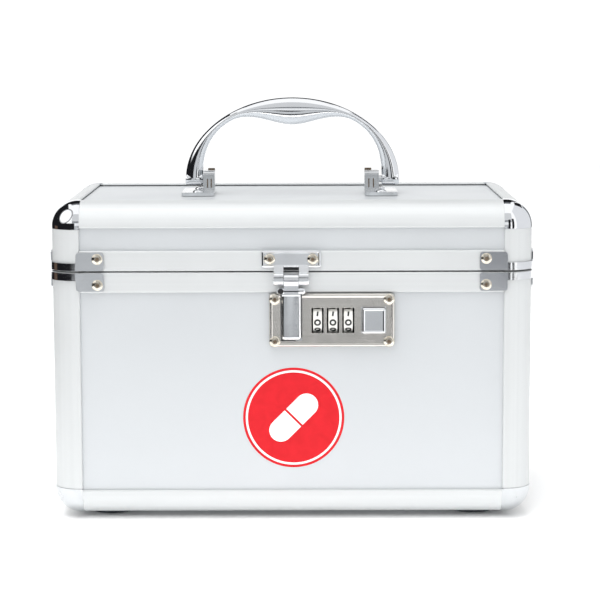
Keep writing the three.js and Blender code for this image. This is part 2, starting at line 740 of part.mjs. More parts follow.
// Catch plate on the lid rim, with the two outer knuckles of the hasp.
const latch = group(box, latchOffset, 0, 0);
const catchBottom = partingHeight + catchRise;
const catchMiddle = catchBottom + catchHeight / 2;
const centreHalf = haspCentreWidth / 2;
const barrelHalf = haspBarrelWidth / 2;
const facePlate = (shape, depth, y, z) => {
  const geometry = extrude(shape, 'z', 0, depth);
  geometry.rotateX(Math.PI / 2);
  return moved(geometry, 0, y, z);
};
const barrel = (radius, from, to) => moved(rod('x', radius, from, to), 0, haspAxisY, haspAxisZ);
const catchKnuckle = (from, to) => [
  block(from, to, catchBackY - catchThickness, catchBackY, haspAxisZ, catchBottom + catchRimWidth),
  barrel(haspBarrelRadius, from, to),
  block(from, to, haspAxisY, catchBackY, haspAxisZ, haspAxisZ + haspBarrelRadius),
];
const catchOutline = roundedRectangle(catchWidth, catchHeight, catchCornerRadius);
const catchTray = cut(
  facePlate(catchOutline, catchThickness, catchBackY, catchMiddle),
  facePlate(
    roundedRectangle(catchWidth - 2 * catchRimWidth, catchHeight - 2 * catchRimWidth, catchCornerRadius / 2),
    catchThickness, catchBackY - catchThickness + catchRimDepth, catchMiddle));
const catchRivets = [-1, 1].map((end) => moved(
  rivetHead('-y'), end * catchRivetPitch / 2, catchBackY - catchThickness + catchRimDepth, catchMiddle));
addPiece(latch, 'hasp_catch_plate', cut(
  join(catchTray, ...catchKnuckle(-barrelHalf, -centreHalf - seatGap / 2),
    ...catchKnuckle(centreHalf + seatGap / 2, barrelHalf), ...catchRivets),
  barrel(haspBoreRadius, -barrelHalf - overrun, barrelHalf + overrun)), platedSteel);
addPiece(latch, 'hasp_pin', barrel(haspPinRadius, -barrelHalf - seatGap, barrelHalf + seatGap), platedSteel);

// Hasp: centre knuckle, wide neck, and a long tab with a raised rim and a catch lug on its back.
const neckTop = haspAxisZ;
const neckBottom = haspAxisZ - haspBarrelRadius - haspNeckHeight;
const tabBottom = haspAxisZ - haspDrop;
const tabTop = neckBottom + haspThickness;
const neckBackY = haspAxisY + seatGap * 2;
const tabBackY = neckBackY + haspStep;
const tabMiddleZ = (tabTop + tabBottom) / 2;
const haspOutline = roundedRectangle(haspWidth, tabTop - tabBottom, haspCornerRadius);
const haspTab = cut(
  facePlate(haspOutline, haspThickness, tabBackY, tabMiddleZ),
  facePlate(
    roundedRectangle(
      haspWidth - 2 * haspRimWidth, tabTop - tabBottom - 2 * haspRimWidth, haspCornerRadius - haspRimDepth),
    haspThickness, tabBackY - haspThickness + haspRimDepth, tabMiddleZ));
const haspLug = block(-lugWidth / 2, lugWidth / 2, tabBackY - haspThickness + haspRimDepth + seatGap,
  tabBackY + lugDepth, tabBottom + lugRise, tabBottom + lugRise + lugHeight);
addPiece(latch, 'hasp', cut(
  join(
    barrel(haspBarrelRadius, -centreHalf + seatGap / 2, centreHalf - seatGap / 2),
    block(-centreHalf + seatGap / 2, centreHalf - seatGap / 2, neckBackY - haspThickness, neckBackY,
      neckBottom + seatGap, neckTop),
    block(-haspNeckWidth / 2, haspNeckWidth / 2, neckBackY - haspThickness, neckBackY,
      neckBottom, neckBottom + haspNeckHeight - seatGap),
    haspTab, haspLug),
  barrel(haspBoreRadius, -barrelHalf, barrelHalf)), platedSteel);

// Combination lock: face plate, dials on their axle, button, sliding bolt and rear housing. Heights
// run from the middle of the face plate, and y = 0 is its face.
const lock = group(box, lockOffset, lockFaceY, lockCentreZ);
const plateBack = lockFaceDepth;
const plateSolid = facePlate(
  roundedRectangle(lockWidth, lockHeight, lockCornerRadius), plateBack + lockRimProud, plateBack, 0);
const plateFaceCut = facePlate(
  roundedRectangle(lockWidth - 2 * lockRimWidth, lockHeight - 2 * lockRimWidth, lockCornerRadius / 2),
  lockRimProud + overrun, 0, 0);
const plateHollow = facePlate(
  roundedRectangle(lockWidth - 2 * lockWall, lockHeight - 2 * lockWall, lockCornerRadius / 2),
  plateBack - lockFaceThickness + overrun, plateBack + overrun, 0);
const notchMiddle = latchOffset - lockOffset;
const notch = block(notchMiddle - notchWidth / 2, notchMiddle + notchWidth / 2, -lockRimProud - overrun,
  plateBack + overrun, -lockHeight / 2 + notchFloorRise, lockHeight / 2 + overrun);
const dialCentreX = (i) => dialShift + (i - (dialCount - 1) / 2) * dialPitch;
const dialWindows = Array.from({ length: dialCount }, (_, i) => block(
  dialCentreX(i) - dialWindowWidth / 2, dialCentreX(i) + dialWindowWidth / 2, -overrun, plateBack,
  -windowHalfHeight, windowHalfHeight));
const buttonWindow = block(
  buttonShift - buttonWidth / 2 - buttonClearance, buttonShift + buttonWidth / 2 + buttonClearance, -overrun,
  plateBack, -buttonHeight / 2 - buttonClearance, buttonHeight / 2 + buttonClearance);
const lockRivets = [[-1, -1], [-1, 1], [1, -1], [1, 1]].map(([a, b]) => moved(
  rivetHead('-y'), a * (lockWidth / 2 - lockRivetInset), 0, b * (lockHeight / 2 - lockRivetInset)));
addPiece(lock, 'lock_face_plate', cut(
  join(cut(plateSolid, plateFaceCut, plateHollow), ...lockRivets), notch, ...dialWindows, buttonWindow),
satinNickel);

const dialCentreY = dialRadius - dialProud;
for (let i = 0; i < dialCount; i += 1) {
  const wheel = rod('x', dialRadius, -dialWidth / 2, dialWidth / 2, dialSides);
  const bore = rod('x', dialBoreRadius, -dialWidth, dialWidth);
  const mesh = addPiece(lock, `lock_dial_${i + 1}`, cut(wheel, bore), whitePlastic);
  mesh.position.set(dialCentreX(i), dialCentreY, 0);
}

// The button stands proud of the plate, and its flange behind the plate keeps it in.
const buttonBack = lockFaceThickness + seatGap + buttonFlangeThickness;
const buttonSection = (width, height, from, to) => block(
  -width / 2, width / 2, from, to, -height / 2, height / 2);
const buttonShell = join(
  buttonSection(buttonWidth, buttonHeight, -buttonProud, buttonBack),
  buttonSection(buttonWidth + 2 * buttonFlange, buttonHeight + 2 * buttonFlange,
    lockFaceThickness + seatGap, buttonBack));
const buttonFace = buttonSection(buttonWidth - 2 * buttonBevel, buttonHeight - 2 * buttonBevel,
  -buttonProud - overrun, -buttonProud + buttonFaceDepth);
const button = addPiece(lock, 'release_button', cut(buttonShell, buttonFace), polishedChrome);
button.position.set(buttonShift, 0, 0);

// The bolt slides behind the plate; its nose stops beside the hasp's lug, and its arm stands behind
// the button.
const boltFront = lockFaceThickness + seatGap;
const boltLow = -lockHeight / 2 + boltRise;
const boltNose = latchOffset - lockOffset + lugWidth / 2 + boltNoseGap;
const armLeft = buttonShift - boltArmWidth / 2;
const armRight = armLeft + boltArmWidth;
const armFront = buttonBack + buttonTravel + boltArmGap;
addPiece(lock, 'lock_bolt', join(
  block(boltNose, armRight, boltFront, boltFront + boltThickness, boltLow, boltLow + boltHeight),
  block(armLeft, armRight, boltFront, armFront + boltThickness, boltLow, boltLow + boltHeight),
  block(armLeft, armRight, armFront, armFront + boltThickness, boltLow, boltLow + boltArmHeight)),
platedSteel);

// The housing behind the front panel carries the dials' axle between two ears.
const housingFront = -halfDepth + panelRecess + panelThickness + seatGap - lockFaceY;
const housingBack = housingFront + housingDepth;
const tubLeft = holeLeft - lockOffset - housingMargin;
const tubRight = holeRight - lockOffset + housingMargin;
const tubHalfHeight = holeHalfHeight + housingMargin;
const tubBottom = Math.min(-tubHalfHeight, boltLow - housingMargin);
const axleEars = [-1, 1].map((end) => {
  const outer = dialShift + end * dialBankHalf;
  const inner = outer - end * axleEarThickness;
  return block(Math.min(outer, inner), Math.max(outer, inner), dialCentreY - axleEarHeight / 2,
    housingBack - housingWall / 2, -axleEarHeight / 2, axleEarHeight / 2);
});
const axleHalf = dialBankHalf - seatGap;
const axle = moved(rod('x', axleRadius, dialShift - axleHalf, dialShift + axleHalf), 0, dialCentreY, 0);
const tub = cut(
  join(
    block(tubLeft - housingWall, tubRight + housingWall, housingFront, housingBack,
      tubBottom - housingWall, tubHalfHeight + housingWall),
    block(tubLeft - housingFlange, tubRight + housingFlange, housingFront, housingFront + housingWall,
      tubBottom - housingFlange, tubHalfHeight + housingFlange)),
  block(tubLeft, tubRight, housingFront - overrun, housingBack - housingWall, tubBottom, tubHalfHeight));
addPiece(lock, 'lock_housing', join(tub, ...axleEars, axle), platedSteel);

// The hasp and the hinge reach past the case, so the whole box is centred on what it really spans.
const frontReach = -haspAxisY + haspBarrelRadius;
const rearReach = hingeAxisY + hingeKnuckleRadius;
box.position.y = (frontReach - rearReach) / 2;

export default box;
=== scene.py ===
"""A medication lock box: an aluminium-framed case with a hinged lid, chromed corners, a folding bow
handle and a three-dial combination lock. Lengths are in metres, +Z is up and the front faces -Y."""

import math

import bmesh
import bpy
from mathutils import Matrix, Vector


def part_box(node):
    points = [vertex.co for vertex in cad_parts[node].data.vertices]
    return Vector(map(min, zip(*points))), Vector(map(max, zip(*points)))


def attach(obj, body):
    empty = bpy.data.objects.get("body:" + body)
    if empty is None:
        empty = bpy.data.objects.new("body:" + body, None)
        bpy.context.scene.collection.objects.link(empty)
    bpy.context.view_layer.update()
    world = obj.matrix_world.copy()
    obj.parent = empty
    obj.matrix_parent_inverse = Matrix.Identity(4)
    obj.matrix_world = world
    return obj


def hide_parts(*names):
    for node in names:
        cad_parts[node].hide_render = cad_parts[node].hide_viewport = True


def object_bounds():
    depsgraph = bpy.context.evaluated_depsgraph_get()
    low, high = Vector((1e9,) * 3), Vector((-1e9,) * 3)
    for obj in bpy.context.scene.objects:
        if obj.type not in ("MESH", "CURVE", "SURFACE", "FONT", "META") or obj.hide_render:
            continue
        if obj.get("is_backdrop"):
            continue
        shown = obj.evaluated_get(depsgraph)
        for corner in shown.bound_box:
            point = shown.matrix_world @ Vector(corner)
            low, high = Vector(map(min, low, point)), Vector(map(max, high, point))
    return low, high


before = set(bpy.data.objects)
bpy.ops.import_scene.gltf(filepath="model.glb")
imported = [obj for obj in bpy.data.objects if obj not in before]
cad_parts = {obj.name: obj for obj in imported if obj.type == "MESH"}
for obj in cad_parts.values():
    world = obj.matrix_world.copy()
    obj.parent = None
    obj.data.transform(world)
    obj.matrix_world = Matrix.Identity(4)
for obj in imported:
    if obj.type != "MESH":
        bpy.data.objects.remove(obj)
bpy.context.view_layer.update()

# Camera. It stands about 1.25 m in front of the box, a little higher than the lid, and looks
# slightly down, as the photograph does.
image_width = 600
focal_pixels = 2109
sensor_width = 36
near_clip = 0.01
camera_place = Vector((0.0077, -1.2446, 0.2791))
camera_yaw = -0.0027
camera_pitch = 0.1303
camera_roll = -0.0028

camera_data = bpy.data.cameras.new("camera")
camera_data.sensor_width = sensor_width
camera_data.lens = focal_pixels * sensor_width / image_width
camera_data.clip_start = near_clip
camera = bpy.data.objects.new("camera", camera_data)
bpy.context.scene.collection.objects.link(camera)
bpy.context.scene.camera = camera
ahead = Vector((math.sin(camera_yaw) * math.cos(camera_pitch),
                math.cos(camera_yaw) * math.cos(camera_pitch), -math.sin(camera_pitch)))
level = Vector((math.cos(camera_yaw), -math.sin(camera_yaw), 0))
upright = level.cross(ahead)
right = level * math.cos(camera_roll) + upright * math.sin(camera_roll)
above = upright * math.cos(camera_roll) - level * math.sin(camera_roll)
turn = Matrix((right, above, -ahead)).transposed().to_4x4()
camera.matrix_world = Matrix.Translation(camera_place) @ turn

# Studio. A white floor and a white surround, with one large soft lamp overhead and one in front, and a
# round softbox at the left. Cards stand where the metal needs something darker than white to mirror.
# Only reflections show the softbox and the cards.
floor_reach = 3
floor_glow = 0.2
front_glow = 0.50
front_glow_far = -0.30
surround_level = 0.98
surround_shine = 1.1
lamps = {"overhead_lamp": ((-0.35, -0.40, 2.1), 27), "front_lamp": ((-0.30, -1.40, 1.50), 12)}
lamp_size = 1.6
softbox_place = Vector((-0.66, -0.30, 0.64))
softbox_reach = 0.43
softbox_sides = 64
softbox_edge = 0.35
sheet_roughness = 0.9
pure_white = (1, 1, 1, 1)
floor_white = (0.97, 0.97, 0.97, 1)
glow_white = (1.5, 1.5, 1.5, 1)
card_pale = (0.92, 0.93, 0.94, 1)
card_haze = (0.80, 0.81, 0.83, 1)
card_sky = (0.68, 0.69, 0.70, 1)
card_bright = (0.62, 0.635, 0.65, 1)
card_grey = (0.50, 0.515, 0.53, 1)
card_deep = (0.31, 0.32, 0.34, 1)
card_dim = (0.16, 0.17, 0.18, 1)
card_wood = (0.12, 0.08, 0.06, 1)
card_black = (0.012, 0.012, 0.014, 1)
pure_black = (0, 0, 0, 1)
card_lift = 0.002
second_lift = 0.003

scene = bpy.context.scene
scene.view_settings.view_transform = "Standard"


def feed(node, values):
    """Fills inputs of a node. An output of another node is linked, and anything else is set."""
    for socket, value in values.items():
        if isinstance(value, bpy.types.NodeSocket):
            node.id_data.links.new(value, node.inputs[socket])
        else:
            node.inputs[socket].default_value = value


def put_node(tree, kind, values=None, **settings):
    """Adds a node to a tree, sets its properties and fills its inputs."""
    made = tree.nodes.new(kind)
    for name, value in settings.items():
        setattr(made, name, value)
    feed(made, values or {})
    return made


def maths(tree, operation, *values):
    """The result of an operation on outputs and numbers."""
    return put_node(tree, "ShaderNodeMath", dict(enumerate(values)), operation=operation).outputs[0]


def own_place(tree):
    """The place of a point in a piece's own coordinates."""
    return put_node(tree, "ShaderNodeTexCoord").outputs["Object"]


def shader_of(paint):
    """The shader of a material."""
    return paint.node_tree.nodes["Principled BSDF"]


world = bpy.data.worlds.new("surround")
scene.world = world
world.use_nodes = True
tree = world.node_tree
tree.nodes.clear()
paths = put_node(tree, "ShaderNodeLightPath")
seen = maths(tree, "MAXIMUM", paths.outputs["Is Camera Ray"], paths.outputs["Is Glossy Ray"])
seen_through = maths(tree, "MAXIMUM", seen, paths.outputs["Is Transmission Ray"])
dim, bright = (put_node(tree, "ShaderNodeBackground", {"Strength": strength, "Color": pure_white}).outputs[0]
               for strength in (surround_level, surround_shine))
mix = put_node(tree, "ShaderNodeMixShader", {0: seen_through, 1: dim, 2: bright})
put_node(tree, "ShaderNodeOutputWorld", {0: mix.outputs[0]})

for name, (place, power) in lamps.items():
    lamp_data = bpy.data.lights.new(name, "AREA")
    lamp_data.shape = "DISK"
    lamp_data.size = lamp_size
    lamp_data.energy = power
    lamp = bpy.data.objects.new(name, lamp_data)
    scene.collection.objects.link(lamp)
    lamp.location = place
    lamp.rotation_euler = (-Vector(place)).to_track_quat("-Z", "Y").to_euler()
    lamp.visible_glossy = False


def stage_sheet(name, corners, colour, glowing):
    """A flat sheet that isn't part of the box: the floor, or a card that only reflections show."""
    sheet = bpy.data.meshes.new(name)
    sheet.from_pydata(corners, [], [tuple(range(len(corners)))])
    made = bpy.data.objects.new(name, sheet)
    scene.collection.objects.link(made)
    paint = bpy.data.materials.new(name)
    paint.use_nodes = True
    feed(shader_of(paint), {"Roughness": sheet_roughness, "Specular IOR Level": 0, "Base Color": colour})
    if glowing:
        feed(shader_of(paint), {"Base Color": pure_black, "Emission Color": colour, "Emission Strength": 1})
        made.visible_camera = False
        made.visible_diffuse = False
        made.visible_shadow = False
        made.visible_transmission = False
    sheet.materials.append(paint)
    made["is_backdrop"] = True
    return made


def standing(near, far, low, high):
    """The corners of an upright sheet over the line from one floor point to another."""
    return [(*near, low), (*far, low), (*far, high), (*near, high)]


def lying(low, high, lift=card_lift):
    """The corners of a level sheet at a lift above the ground."""
    return [(*low, lift), (high[0], low[1], lift), (*high, lift), (low[0], high[1], lift)]


floor_corners = lying((-floor_reach, -floor_reach), (floor_reach, floor_reach), 0)
floor = stage_sheet("floor", floor_corners, floor_white, False)
front_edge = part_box("base_bottom_rail_front")[0].y
tree = floor.data.materials[0].node_tree
depth = put_node(tree, "ShaderNodeSeparateXYZ", {0: own_place(tree)}).outputs["Y"]
nearness = put_node(tree, "ShaderNodeMapRange", {"Value": depth, "From Min": front_glow_far,
                                                 "From Max": front_edge, "To Max": front_glow})
in_front = maths(tree, "LESS_THAN", depth, front_edge)
lit = maths(tree, "MULTIPLY_ADD", nearness.outputs[0], in_front, floor_glow)
paths = put_node(tree, "ShaderNodeLightPath")
glow = maths(tree, "MULTIPLY", paths.outputs["Is Diffuse Ray"], lit)
feed(shader_of(floor.data.materials[0]), {"Emission Strength": glow})

cards = {
    "front_left_low_card": (standing((-0.30, -1.1), (-0.15, -1.1), 0, 0.125), card_grey),
    "front_low_card": (standing((-0.15, -1.1), (0.15, -1.1), 0, 0.125), card_bright),
    "front_right_low_card": (standing((0.15, -1.1), (0.28, -1.1), 0, 0.125), card_deep),
    "front_middle_card": (standing((-0.30, -1.1), (0.28, -1.1), 0.125, 0.27), card_grey),
    "front_glow_card": (standing((-0.30, -1.1), (0.28, -1.1), 0.27, 0.47), card_pale),
    "front_high_card": (standing((-0.52, -1.1), (0.52, -1.1), 0.47, 0.54), card_grey),
    "front_line_card": (standing((-0.52, -1.1), (0.52, -1.1), 0.54, 0.64), card_dim),
    "front_sky_card": ([(-0.55, -1.1, 0.64), (0.55, -1.1, 0.64), (0.6, -0.92, 1.52), (-0.6, -0.92, 1.52)],
                       card_sky),
    "front_streak_card": (standing((-0.060, -1.095), (-0.028, -1.095), 0.135, 0.25), card_black),
    "front_near_streak_card": (standing((-0.030, -1.095), (0.020, -1.095), 0.120, 0.235), card_black),
    "front_left_stripe": (standing((-0.52, -1.09), (-0.30, -1.09), 0, 0.47), card_black),
    "front_floor_card": (lying((-0.50, -1.1), (0.62, -0.82)), card_bright),
    "front_button_card": (lying((0.055, -1.0), (0.14, -0.82), second_lift), card_grey),
    "front_near_floor_card": (lying((-0.50, -0.82), (0.62, -0.66)), card_grey),
    "front_dark_floor_card": (lying((-0.50, -0.66), (0.62, -0.46)), card_black),
    "right_floor_card": (lying((0.62, -0.92), (0.82, -0.64)), card_black),
    "left_floor_card": (lying((-1.0, -1.1), (-0.50, 0.9)), card_black),
    "left_corner_card": (standing((-0.95, -1.0), (-0.50, -1.1), 0, 0.47), card_black),
    "left_card": (standing((-0.95, -1.0), (-1.0, 1.3), 0, 0.45), card_black),
    "left_rear_card": (standing((-0.97, -0.9), (-1.0, 1.3), 0.45, 1.8), card_black),
    "left_wood_card": (standing((-0.945, -0.02), (-0.955, 0.30), 0, 0.16), card_wood),
    "rear_card": (standing((-1.0, 1.3), (0.8, 1.5), 1.0, 2.6), card_black),
    "rear_top_card": ([(-1.0, 1.3, 2.6), (0.8, 1.5, 2.6), (0.8, 0.9, 2.75), (-1.0, 0.9, 2.75)], card_dim),
    "right_high_card": (standing((0.90, 0.55), (0.80, 1.25), 0.85, 1.7), card_black),
    "right_pale_card": (standing((0.93, -0.91), (1.1, 1.0), 0, 2.2), card_haze),
    "right_stripe": (standing((0.24, -1.09), (0.42, -1.08), 0, 0.80), card_black),
    "right_far_stripe": (standing((0.54, -1.06), (0.72, -1.00), 0, 0.80), card_black),
    "right_rear_card": (standing((1.05, 0.9), (0.9, 1.3), 0, 0.9), card_dim),
}
for name, (corners, colour) in cards.items():
    stage_sheet(name, corners, colour, True)


def disc(a, b, radius, steps=36):
    """The points of a circle."""
    angles = [2 * math.pi * k / steps for k in range(steps)]
    return [(a + radius * math.cos(angle), b + radius * math.sin(angle)) for angle in angles]


softbox_rim = [(0, a, b) for a, b in disc(0, 0, softbox_reach, softbox_sides)]
softbox = stage_sheet("softbox", softbox_rim, card_black, True)
facing = softbox_place.to_track_quat("X", "Z").to_matrix().to_4x4()
softbox.matrix_world = Matrix.Translation(softbox_place) @ facing
tree = softbox.data.materials[0].node_tree
spread = put_node(tree, "ShaderNodeVectorMath", {0: own_place(tree), "Scale": 1 / softbox_reach},
                  operation="SCALE")
fade = put_node(tree, "ShaderNodeTexGradient", {0: spread.outputs[0]}, gradient_type="SPHERICAL")
shape = put_node(tree, "ShaderNodeValToRGB", {"Fac": fade.outputs["Fac"]})
shape.color_ramp.elements[0].color = card_black
shape.color_ramp.elements[1].position = softbox_edge
shape.color_ramp.elements[1].color = glow_white
feed(shader_of(softbox.data.materials[0]), {"Emission Color": shape.outputs["Color"]})

# Corner posts and bottom rails. Quarter-round aluminium extrusions, satin anodised. Each leg has a
# channel that grips a panel, and rivets and corner pieces hold the lengths together.
edge_radius = 0.0146
post_leg = 0.0165
rail_face_leg = 0.0148
rail_flat_leg = 0.0152
lip = 0.00175
lip_crest = 0.0009
crest_radius = 0.000891
open_lip = 0.0012
channel_depth = 0.0046
channel_inner = 0.0061
profile_back = 0.0076
lip_fillet = 0.0004
lip_edge = 0.00012
inner_fillet = 0.0010
round_steps = 24
fillet_steps = 4
fine_bevel = 0.00015
sharp_angle = math.radians(38)
grain_noises = {"Height": {"Scale": 1, "Detail": 3}, "Streaks": {"Scale": 0.16, "Detail": 2}}
smudge_noise = {"Detail": 4, "Distortion": 0.6}
smudge_range = {"From Min": 0.35, "From Max": 0.7}
aluminium_tones = ((0.53, 0.545, 0.55, 1), (0.58, 0.595, 0.60, 1))
die_stretch_along = 12
die_stretch_across = 2600
case_low, post_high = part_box("base_corner_post_front_left")
case_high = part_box("base_corner_post_rear_right")[1]
base_top = post_high.z


def rounded(corners, steps=fillet_steps):
    """A closed outline. Each corner is (a, b, radius), and the radius rounds it."""
    points = []
    for i, (a, b, radius) in enumerate(corners):
        corner = Vector((a, b))
        if radius == 0:
            points.append(corner)
            continue
        back = (Vector(corners[i - 1][:2]) - corner).normalized()
        onward = (Vector(corners[(i + 1) % len(corners)][:2]) - corner).normalized()
        half = back.angle(onward) / 2
        centre = corner + (back + onward).normalized() * radius / math.sin(half)
        first = corner + back * radius / math.tan(half) - centre
        last = corner + onward * radius / math.tan(half) - centre
        start = math.atan2(first.y, first.x)
        sweep = math.remainder(math.atan2(last.y, last.x) - start, 2 * math.pi)
        for k in range(steps + 1):
            angle = start + sweep * k / steps
            points.append(centre + Vector((math.cos(angle), math.sin(angle))) * radius)
    return points


def skin(bm, rings):
    """Joins rings with the same number of points one to the next, and closes both ends."""
    for near, far in zip(rings, rings[1:]):
        for i in range(len(near)):
            j = (i + 1) % len(near)
            bm.faces.new((near[i], near[j], far[j], far[i]))
    bm.faces.new(rings[0][::-1])
    bm.faces.new(rings[-1])


def add_prism(bm, points, axis, low, high):
    """Extrudes an outline along an axis. Its two coordinates fill the other two axes in order."""
    order = {"x": (2, 0, 1), "y": (0, 2, 1), "z": (0, 1, 2)}[axis]
    skin(bm, [[bm.verts.new([(a, b, end)[i] for i in order]) for a, b in points] for end in (low, high)])


def smooth_object(name, bm):
    """Turns mesh work into an object with smooth faces."""
    mesh = bpy.data.meshes.new(name)
    bm.to_mesh(mesh)
    bm.free()
    mesh.shade_smooth()
    made = bpy.data.objects.new(name, mesh)
    scene.collection.objects.link(made)
    return made


def new_piece(name, bm):
    """Turns mesh work into an object with smooth round faces and sharp edges."""
    bmesh.ops.recalc_face_normals(bm, faces=bm.faces)
    made = smooth_object(name, bm)
    made.data.set_sharp_from_angle(angle=sharp_angle)
    return made


def prism_piece(name, points, axis, low, high):
    """One extruded outline as an object."""
    bm = bmesh.new()
    add_prism(bm, points, axis, low, high)
    return new_piece(name, bm)


def soften(made, width=fine_bevel, segments=2):
    """Gives a piece the small rounded edges that catch the light."""
    bevel = made.modifiers.new("edges", "BEVEL")
    bevel.width = width
    bevel.segments = segments
    bevel.limit_method = "ANGLE"
    bevel.angle_limit = sharp_angle
    steady = made.modifiers.new("flat_faces", "WEIGHTED_NORMAL")
    steady.weight = 100
    return made


def dress(made, paint, body, slot, *nodes):
    """Paints a piece, lets it move with its body, and hides the solids that it stands for."""
    made.data.materials.clear()
    made.data.materials.append(paint)
    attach(made, body)
    if nodes:
        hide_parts(*nodes)
    return made


def repaint(node_name, paint):
    """Gives a solid that stays in view its finish."""
    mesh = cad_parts[node_name].data
    mesh.materials.clear()
    mesh.materials.append(paint)


def new_group(name, given, kind, results):
    """A node group with one input of a kind and named numbers as results, and its two end nodes."""
    group = bpy.data.node_groups.new(name, "ShaderNodeTree")
    group.interface.new_socket(given, in_out="INPUT", socket_type=kind)
    for result in results:
        group.interface.new_socket(result, in_out="OUTPUT", socket_type="NodeSocketFloat")
    return group, put_node(group, "NodeGroupInput").outputs[given], put_node(group, "NodeGroupOutput")


def grain_group():
    """Long fine lines with slower streaks between them, as a die or an abrasive belt leaves them."""
    group, stretch, result = new_group("drawn_grain", "Stretch", "NodeSocketVector", ["Height", "Streaks"])
    stretched = put_node(group, "ShaderNodeVectorMath", {0: own_place(group), 1: stretch},
                         operation="MULTIPLY")
    for output, noise in grain_noises.items():
        lines = put_node(group, "ShaderNodeTexNoise", {"Vector": stretched.outputs[0], **noise})
        feed(result, {output: lines.outputs["Fac"]})
    return group


def smudge_group():
    """Soft patches where hands and cloths have been, as a mask from 0 to 1."""
    group, scale, result = new_group("smudges", "Scale", "NodeSocketFloat", ["Mask"])
    patches = put_node(group, "ShaderNodeTexNoise",
                       {"Vector": own_place(group), "Scale": scale, **smudge_noise})
    spread = put_node(group, "ShaderNodeMapRange", {"Value": patches.outputs["Fac"], **smudge_range})
    feed(result, {"Mask": spread.outputs["Result"]})
    return group


drawn_grain = grain_group()
smudges = smudge_group()


def blend_colours(paint, mask, tones):
    """Lets a mask mix two tones into the colour of a paint."""
    mixed = put_node(paint.node_tree, "ShaderNodeMix", {"Factor": mask}, data_type="RGBA")
    colours = [socket for socket in mixed.inputs if socket.type == "RGBA"]
    colours[0].default_value, colours[1].default_value = tones
    feed(shader_of(paint), {"Base Color": next(socket for socket in mixed.outputs if socket.type == "RGBA")})


def vary_roughness(paint, mask, low, high):
    """Lets a mask carry the roughness of a paint from low to high."""
    spread = put_node(paint.node_tree, "ShaderNodeMapRange", {"Value": mask, "To Min": low, "To Max": high})
    feed(shader_of(paint), {"Roughness": spread.outputs["Result"]})


def emboss(paint, height, distance):
    """Lets a height make fine relief on a paint."""
    bump = put_node(paint.node_tree, "ShaderNodeBump",
                    {"Height": height, "Distance": distance, "Strength": 1})
    feed(shader_of(paint), {"Normal": bump.outputs["Normal"]})


def new_paint(name, tones, rough, smudge, relief=0, stretch=None, streaked="", metallic=0, specular=0.5):
    """A paint whose two tones, roughness and relief follow smudges of a scale. With a stretch it also has
    drawn grain: the grain makes the relief, and its streaks take over what streaked names."""
    paint = bpy.data.materials.new(name)
    paint.use_nodes = True
    feed(shader_of(paint), {"Metallic": metallic, "Specular IOR Level": specular})
    tree = paint.node_tree
    mask = put_node(tree, "ShaderNodeGroup", {"Scale": smudge}, node_tree=smudges).outputs["Mask"]
    height = mask
    streaks = mask
    if stretch:
        grain = put_node(tree, "ShaderNodeGroup", {"Stretch": stretch}, node_tree=drawn_grain)
        height = grain.outputs["Height"]
        streaks = grain.outputs["Streaks"]
    if tones:
        blend_colours(paint, streaks if streaked == "colour" else mask, tones)
    vary_roughness(paint, streaks if streaked == "roughness" else mask, *rough)
    if relief:
        emboss(paint, height, relief)
    return paint


aluminium = {}
for axis in "xyz":
    along_axis = [die_stretch_along if axis == name else die_stretch_across for name in "xyz"]
    aluminium[axis] = new_paint("anodised_aluminium_" + axis, aluminium_tones, rough=(0.40, 0.50), smudge=30,
                                relief=0.000012, stretch=along_axis, streaked="colour", metallic=0.3,
                                specular=0.3)


def edge_section(leg_a, leg_b, lip_a=lip):
    """The quarter-round section with its outer corner at zero and a channel in each leg."""
    floor_a = leg_a - channel_depth
    floor_b = leg_b - channel_depth
    hollow = [(leg_a - lip_crest, 0, 0), (leg_a, 0, crest_radius), (leg_a, lip_a, lip_edge),
              (floor_a, lip_a, 0), (floor_a, channel_inner, 0), (leg_a, channel_inner, lip_fillet),
              (leg_a, profile_back, lip_fillet), (profile_back, profile_back, inner_fillet),
              (profile_back, leg_b, lip_fillet), (channel_inner, leg_b, lip_fillet),
              (channel_inner, floor_b, 0), (lip, floor_b, 0), (lip, leg_b, lip_edge),
              (0, leg_b, crest_radius), (0, leg_b - lip_crest, 0)]
    curve = []
    for k in range(1, round_steps):
        angle = math.pi + math.pi / 2 * k / round_steps
        a = edge_radius + edge_radius * math.cos(angle)
        b = edge_radius + edge_radius * math.sin(angle)
        if a < leg_a - lip_crest and b < leg_b - lip_crest:
            curve.append(Vector((a, b)))
    return rounded(hollow) + curve


def placed(points, corner_a, corner_b, sign_a, sign_b):
    """Moves a section so that its corner is at a place and its legs run the given ways."""
    return [(corner_a + sign_a * a, corner_b + sign_b * b) for a, b in points]


corner_signs = {"front_left": (1, 1), "front_right": (-1, 1), "rear_left": (1, -1), "rear_right": (-1, -1)}
case_x = {1: case_low.x, -1: case_high.x}
case_y = {1: case_low.y, -1: case_high.y}
post_section = edge_section(post_leg, post_leg)


def corner_post(name, place, low, high, body, node):
    """An upright length of the post section in one corner of the case."""
    sign_x, sign_y = corner_signs[place]
    section = placed(post_section, case_x[sign_x], case_y[sign_y], sign_x, sign_y)
    dress(soften(prism_piece(name, section, "z", low, high)), aluminium["z"], body, "aluminium", node)


for place in corner_signs:
    node = "base_corner_post_" + place
    low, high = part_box(node)
    corner_post("corner_post_" + place, place, low.z, high.z, "base", node)

side_runs = {"front": ("x", 0, 1), "rear": ("x", 0, -1), "left": ("y", 1, 1), "right": ("y", 1, -1)}


def add_side_bar(bm, section, side, low_end, high_end, outer_z, sign_z):
    """Runs a section along one side of the case. Its first coordinate is depth into the case."""
    axis, along, sign = side_runs[side]
    outer = case_y[sign] if axis == "x" else case_x[sign]
    add_prism(bm, placed(section, outer, outer_z, sign, sign_z), axis, low_end, high_end)


